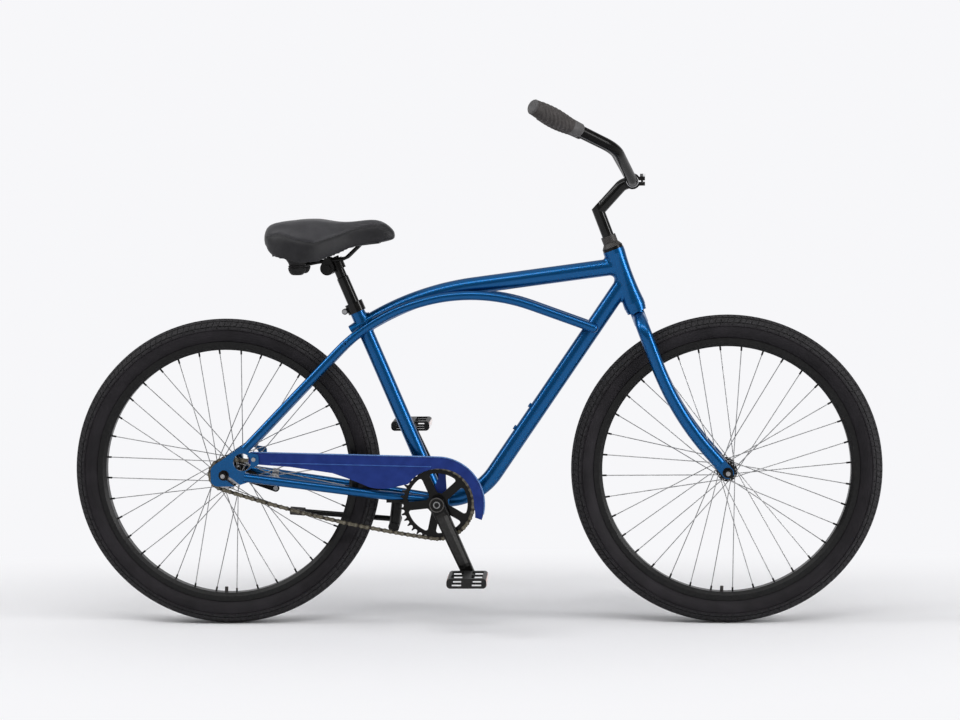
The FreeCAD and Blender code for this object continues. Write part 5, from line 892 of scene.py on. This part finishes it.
def hoop(name, middle, aim, radius, thick, mat, body):
    """Round ring of round section."""
    side = aim.orthogonal().normalized()
    other = aim.cross(side)
    verts = []
    for step in range(TURN_STEPS):
        turn = 2 * math.pi * step / TURN_STEPS
        out = side * math.cos(turn) + other * math.sin(turn)
        for row in range(HOOP_STEPS):
            around = 2 * math.pi * row / HOOP_STEPS
            verts.append(middle + out * (radius + thick * math.cos(around)) + aim * thick * math.sin(around))
    piece(name, verts, lattice_faces(TURN_STEPS, HOOP_STEPS), mat, body)


def rings():
    for name, side in (("right", -1), ("left", 1)):
        middle = BAR_CENTRE + CROSSWAYS * side * BAR_RING_SIDE
        hoop("bar_ring_" + name, middle, CROSSWAYS, BAR_RING_R, BAR_RING_THICK,
             MATERIALS["bare_steel"], "handlebar")


# Radius and height of the bumper's bulb and of the collar that flares up to the saddle's base
BUMPER_PROFILE = (
    (0.0, 0.0), (0.009, 0.0), (0.0125, 0.0012), (0.0155, 0.0044), (0.0178, 0.009), (0.0189, 0.0134),
    (0.0189, 0.0152), (0.0175, 0.0158), (0.0175, 0.0168), (0.0186, 0.0174), (0.018, 0.0204), (0.0164, 0.021),
    (0.0164, 0.022), (0.0174, 0.0226), (0.0182, 0.0256), (0.0208, 0.0296), (0.0236, 0.0336), (0.0236, 0.0346),
    (0.0, 0.0346),
)


def bumpers():
    verts = []
    faces = []
    for side in (-1, 1):
        foot = Vector((BUMPER.x, BUMPER.y * side, BUMPER.z - BUMPER_SINK))
        first = len(verts)
        for radius, up in BUMPER_PROFILE:
            for step in range(TURN_STEPS):
                turn = 2 * math.pi * step / TURN_STEPS
                verts.append(foot + Vector((radius * math.cos(turn), radius * math.sin(turn), up)))
        faces += turned_faces(first, len(BUMPER_PROFILE))
    obj = piece("saddle_bumpers_moulded", verts, faces, BUMPER_RUBBER, "saddle")
    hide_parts("saddle_bumpers")


# Camera, light and floor

CAMERA_PLACE = Vector((0.2452, -4.527, 0.9983))
CAMERA_YAW = 0.0515
CAMERA_PITCH = 0.0941
CAMERA_ROLL = -0.012
FOCAL_PIXELS = 2123.7
IMAGE_WIDTH = 960
SENSOR = 36.0
SKY_LOW = 0.16
SKY_HIGH = 0.4
# Name, place, target, size and power of each lamp
LAMPS = (
    ("overhead", (0.0, 0.3, 3.4), (0.0, 0, 0.4), (4.6, 2.6), 14),
    ("key", (0.1, -1.7, 3.0), (0.1, 0, 0.5), (4.4, 0.5), 44),
    ("right", (3.8, -1.3, 1.5), (0, 0, 0.5), (0.9, 2.4), 76),
    ("left", (-3.2, -0.4, 2.9), (0, 0, 0.5), (0.9, 2.4), 56),
)
BACKDROP = (0.93, 0.93, 0.95)
FLOOR = (0.87, 0.87, 0.89)
FLOOR_ROUGHNESS = 0.9
FLOOR_REACH = 9.0
GROUND_REACH = 80.0
GROUND_DROP = -0.002
WALL_HEIGHT = 7.0
WALL_ROUND = 2.0
WALL_STEPS = 12
GLOW_STRETCH = (0.5, 1.5, 1)
GLOW_NEAR = 0.36
GLOW_FAR = 1.3


def camera():
    forward = Vector((
        -math.sin(CAMERA_YAW) * math.cos(CAMERA_PITCH),
        math.cos(CAMERA_YAW) * math.cos(CAMERA_PITCH),
        -math.sin(CAMERA_PITCH),
    ))
    right = Vector((math.cos(CAMERA_YAW), math.sin(CAMERA_YAW), 0))
    up = right.cross(forward)
    turned_right = right * math.cos(CAMERA_ROLL) + up * math.sin(CAMERA_ROLL)
    turned_up = up * math.cos(CAMERA_ROLL) - right * math.sin(CAMERA_ROLL)
    data = bpy.data.cameras.new("camera")
    data.sensor_width = SENSOR
    data.lens = FOCAL_PIXELS / IMAGE_WIDTH * SENSOR
    obj = bpy.data.objects.new("camera", data)
    turn = Matrix((turned_right, turned_up, -forward)).transposed().to_4x4()
    obj.matrix_world = Matrix.Translation(CAMERA_PLACE) @ turn
    bpy.context.scene.collection.objects.link(obj)
    bpy.context.scene.camera = obj


def lamp(name, place, target, size, power):
    data = bpy.data.lights.new(name, "AREA")
    data.shape = "RECTANGLE"
    data.size, data.size_y = size
    data.energy = power
    obj = bpy.data.objects.new(name, data)
    obj.location = place
    obj.rotation_euler = (Vector(target) - Vector(place)).to_track_quat("-Z", "Y").to_euler()
    bpy.context.scene.collection.objects.link(obj)


def sky_gradient(tree):
    """Soft room light, dim at the horizon and brighter overhead."""
    sky = tree.nodes["Background"]
    sky.inputs["Color"].default_value = (1, 1, 1, 1)
    place = tree.nodes.new("ShaderNodeTexCoord")
    parts = tree.nodes.new("ShaderNodeSeparateXYZ")
    span = tree.nodes.new("ShaderNodeMapRange")
    span.inputs["To Min"].default_value = SKY_LOW
    span.inputs["To Max"].default_value = SKY_HIGH
    tree.links.new(place.outputs["Generated"], parts.inputs["Vector"])
    tree.links.new(parts.outputs["Z"], span.inputs["Value"])
    tree.links.new(span.outputs["Result"], sky.inputs["Strength"])


def backdrop_glow(mat):
    """Far from the object the surface shows the backdrop's own pale colour, near it the lamps and shadows."""
    tree = mat.node_tree
    new, link = tree.nodes.new, tree.links.new
    path = new("ShaderNodeLightPath")
    seen = new("ShaderNodeMath")
    seen.operation = "MAXIMUM"
    link(path.outputs["Is Camera Ray"], seen.inputs[0])
    link(path.outputs["Is Glossy Ray"], seen.inputs[1])
    clear = new("ShaderNodeMath")
    clear.operation = "MAXIMUM"
    link(seen.outputs["Value"], clear.inputs[0])
    link(path.outputs["Is Transmission Ray"], clear.inputs[1])
    place = new("ShaderNodeTexCoord")
    stretch = new("ShaderNodeVectorMath")
    stretch.operation = "MULTIPLY"
    stretch.inputs[1].default_value = GLOW_STRETCH
    link(place.outputs["Object"], stretch.inputs[0])
    length = new("ShaderNodeVectorMath")
    length.operation = "LENGTH"
    link(stretch.outputs["Vector"], length.inputs[0])
    fade = new("ShaderNodeMapRange")
    fade.interpolation_type = "SMOOTHSTEP"
    fade.inputs["From Min"].default_value = GLOW_NEAR
    fade.inputs["From Max"].default_value = GLOW_FAR
    link(length.outputs["Value"], fade.inputs["Value"])
    share = new("ShaderNodeMath")
    share.operation = "MULTIPLY"
    link(clear.outputs["Value"], share.inputs[0])
    link(fade.outputs["Result"], share.inputs[1])
    glow = new("ShaderNodeEmission")
    glow.inputs["Color"].default_value = (*BACKDROP, 1)
    mix = new("ShaderNodeMixShader")
    link(share.outputs["Value"], mix.inputs["Fac"])
    link(tree.nodes["Principled BSDF"].outputs["BSDF"], mix.inputs[1])
    link(glow.outputs["Emission"], mix.inputs[2])
    link(mix.outputs["Shader"], tree.nodes["Material Output"].inputs["Surface"])


def stage_sheet(name, verts, faces, mat):
    """A sheet of the room around the object."""
    mesh = bpy.data.meshes.new(name)
    mesh.from_pydata(verts, [], faces)
    mesh.shade_smooth()
    mesh.materials.append(mat)
    obj = bpy.data.objects.new(name, mesh)
    bpy.context.scene.collection.objects.link(obj)


def studio():
    """Pale floor that curves up into a wall and runs on far around, with soft lamps above and at the sides."""
    scene = bpy.context.scene
    scene.view_settings.view_transform = "Standard"
    world = bpy.data.worlds.new("studio")
    world.use_nodes = True
    scene.world = world
    sky_gradient(world.node_tree)
    for row in LAMPS:
        lamp(*row)
    mat = shader("pale_floor", FLOOR, FLOOR_ROUGHNESS)
    backdrop_glow(mat)
    profile = [(-FLOOR_REACH, 0.0)]
    for step in range(WALL_STEPS + 1):
        turn = math.pi / 2 * step / WALL_STEPS
        profile.append((FLOOR_REACH - WALL_ROUND * (1 - math.sin(turn)), WALL_ROUND * (1 - math.cos(turn))))
    profile.append((FLOOR_REACH, WALL_HEIGHT))
    verts = [(x, y, z) for y, z in profile for x in (-FLOOR_REACH, FLOOR_REACH)]
    faces = [(2 * i, 2 * i + 1, 2 * i + 3, 2 * i + 2) for i in range(len(profile) - 1)]
    stage_sheet("floor", verts, faces, mat)
    corners = ((-1, -1), (1, -1), (1, 1), (-1, 1))
    verts = [(x * GROUND_REACH, y * GROUND_REACH, GROUND_DROP) for x, y in corners]
    stage_sheet("ground", verts, [(0, 1, 2, 3)], mat)


dress_nodes()
tyre("front_tyre", FRONT_AXLE, "front_wheel")
tyre("rear_tyre", REAR_AXLE, "rear_wheel")
saddle_cover()
grips()
rings()
bumpers()
welds()
chain_guard()
cranks()
camera()
studio()
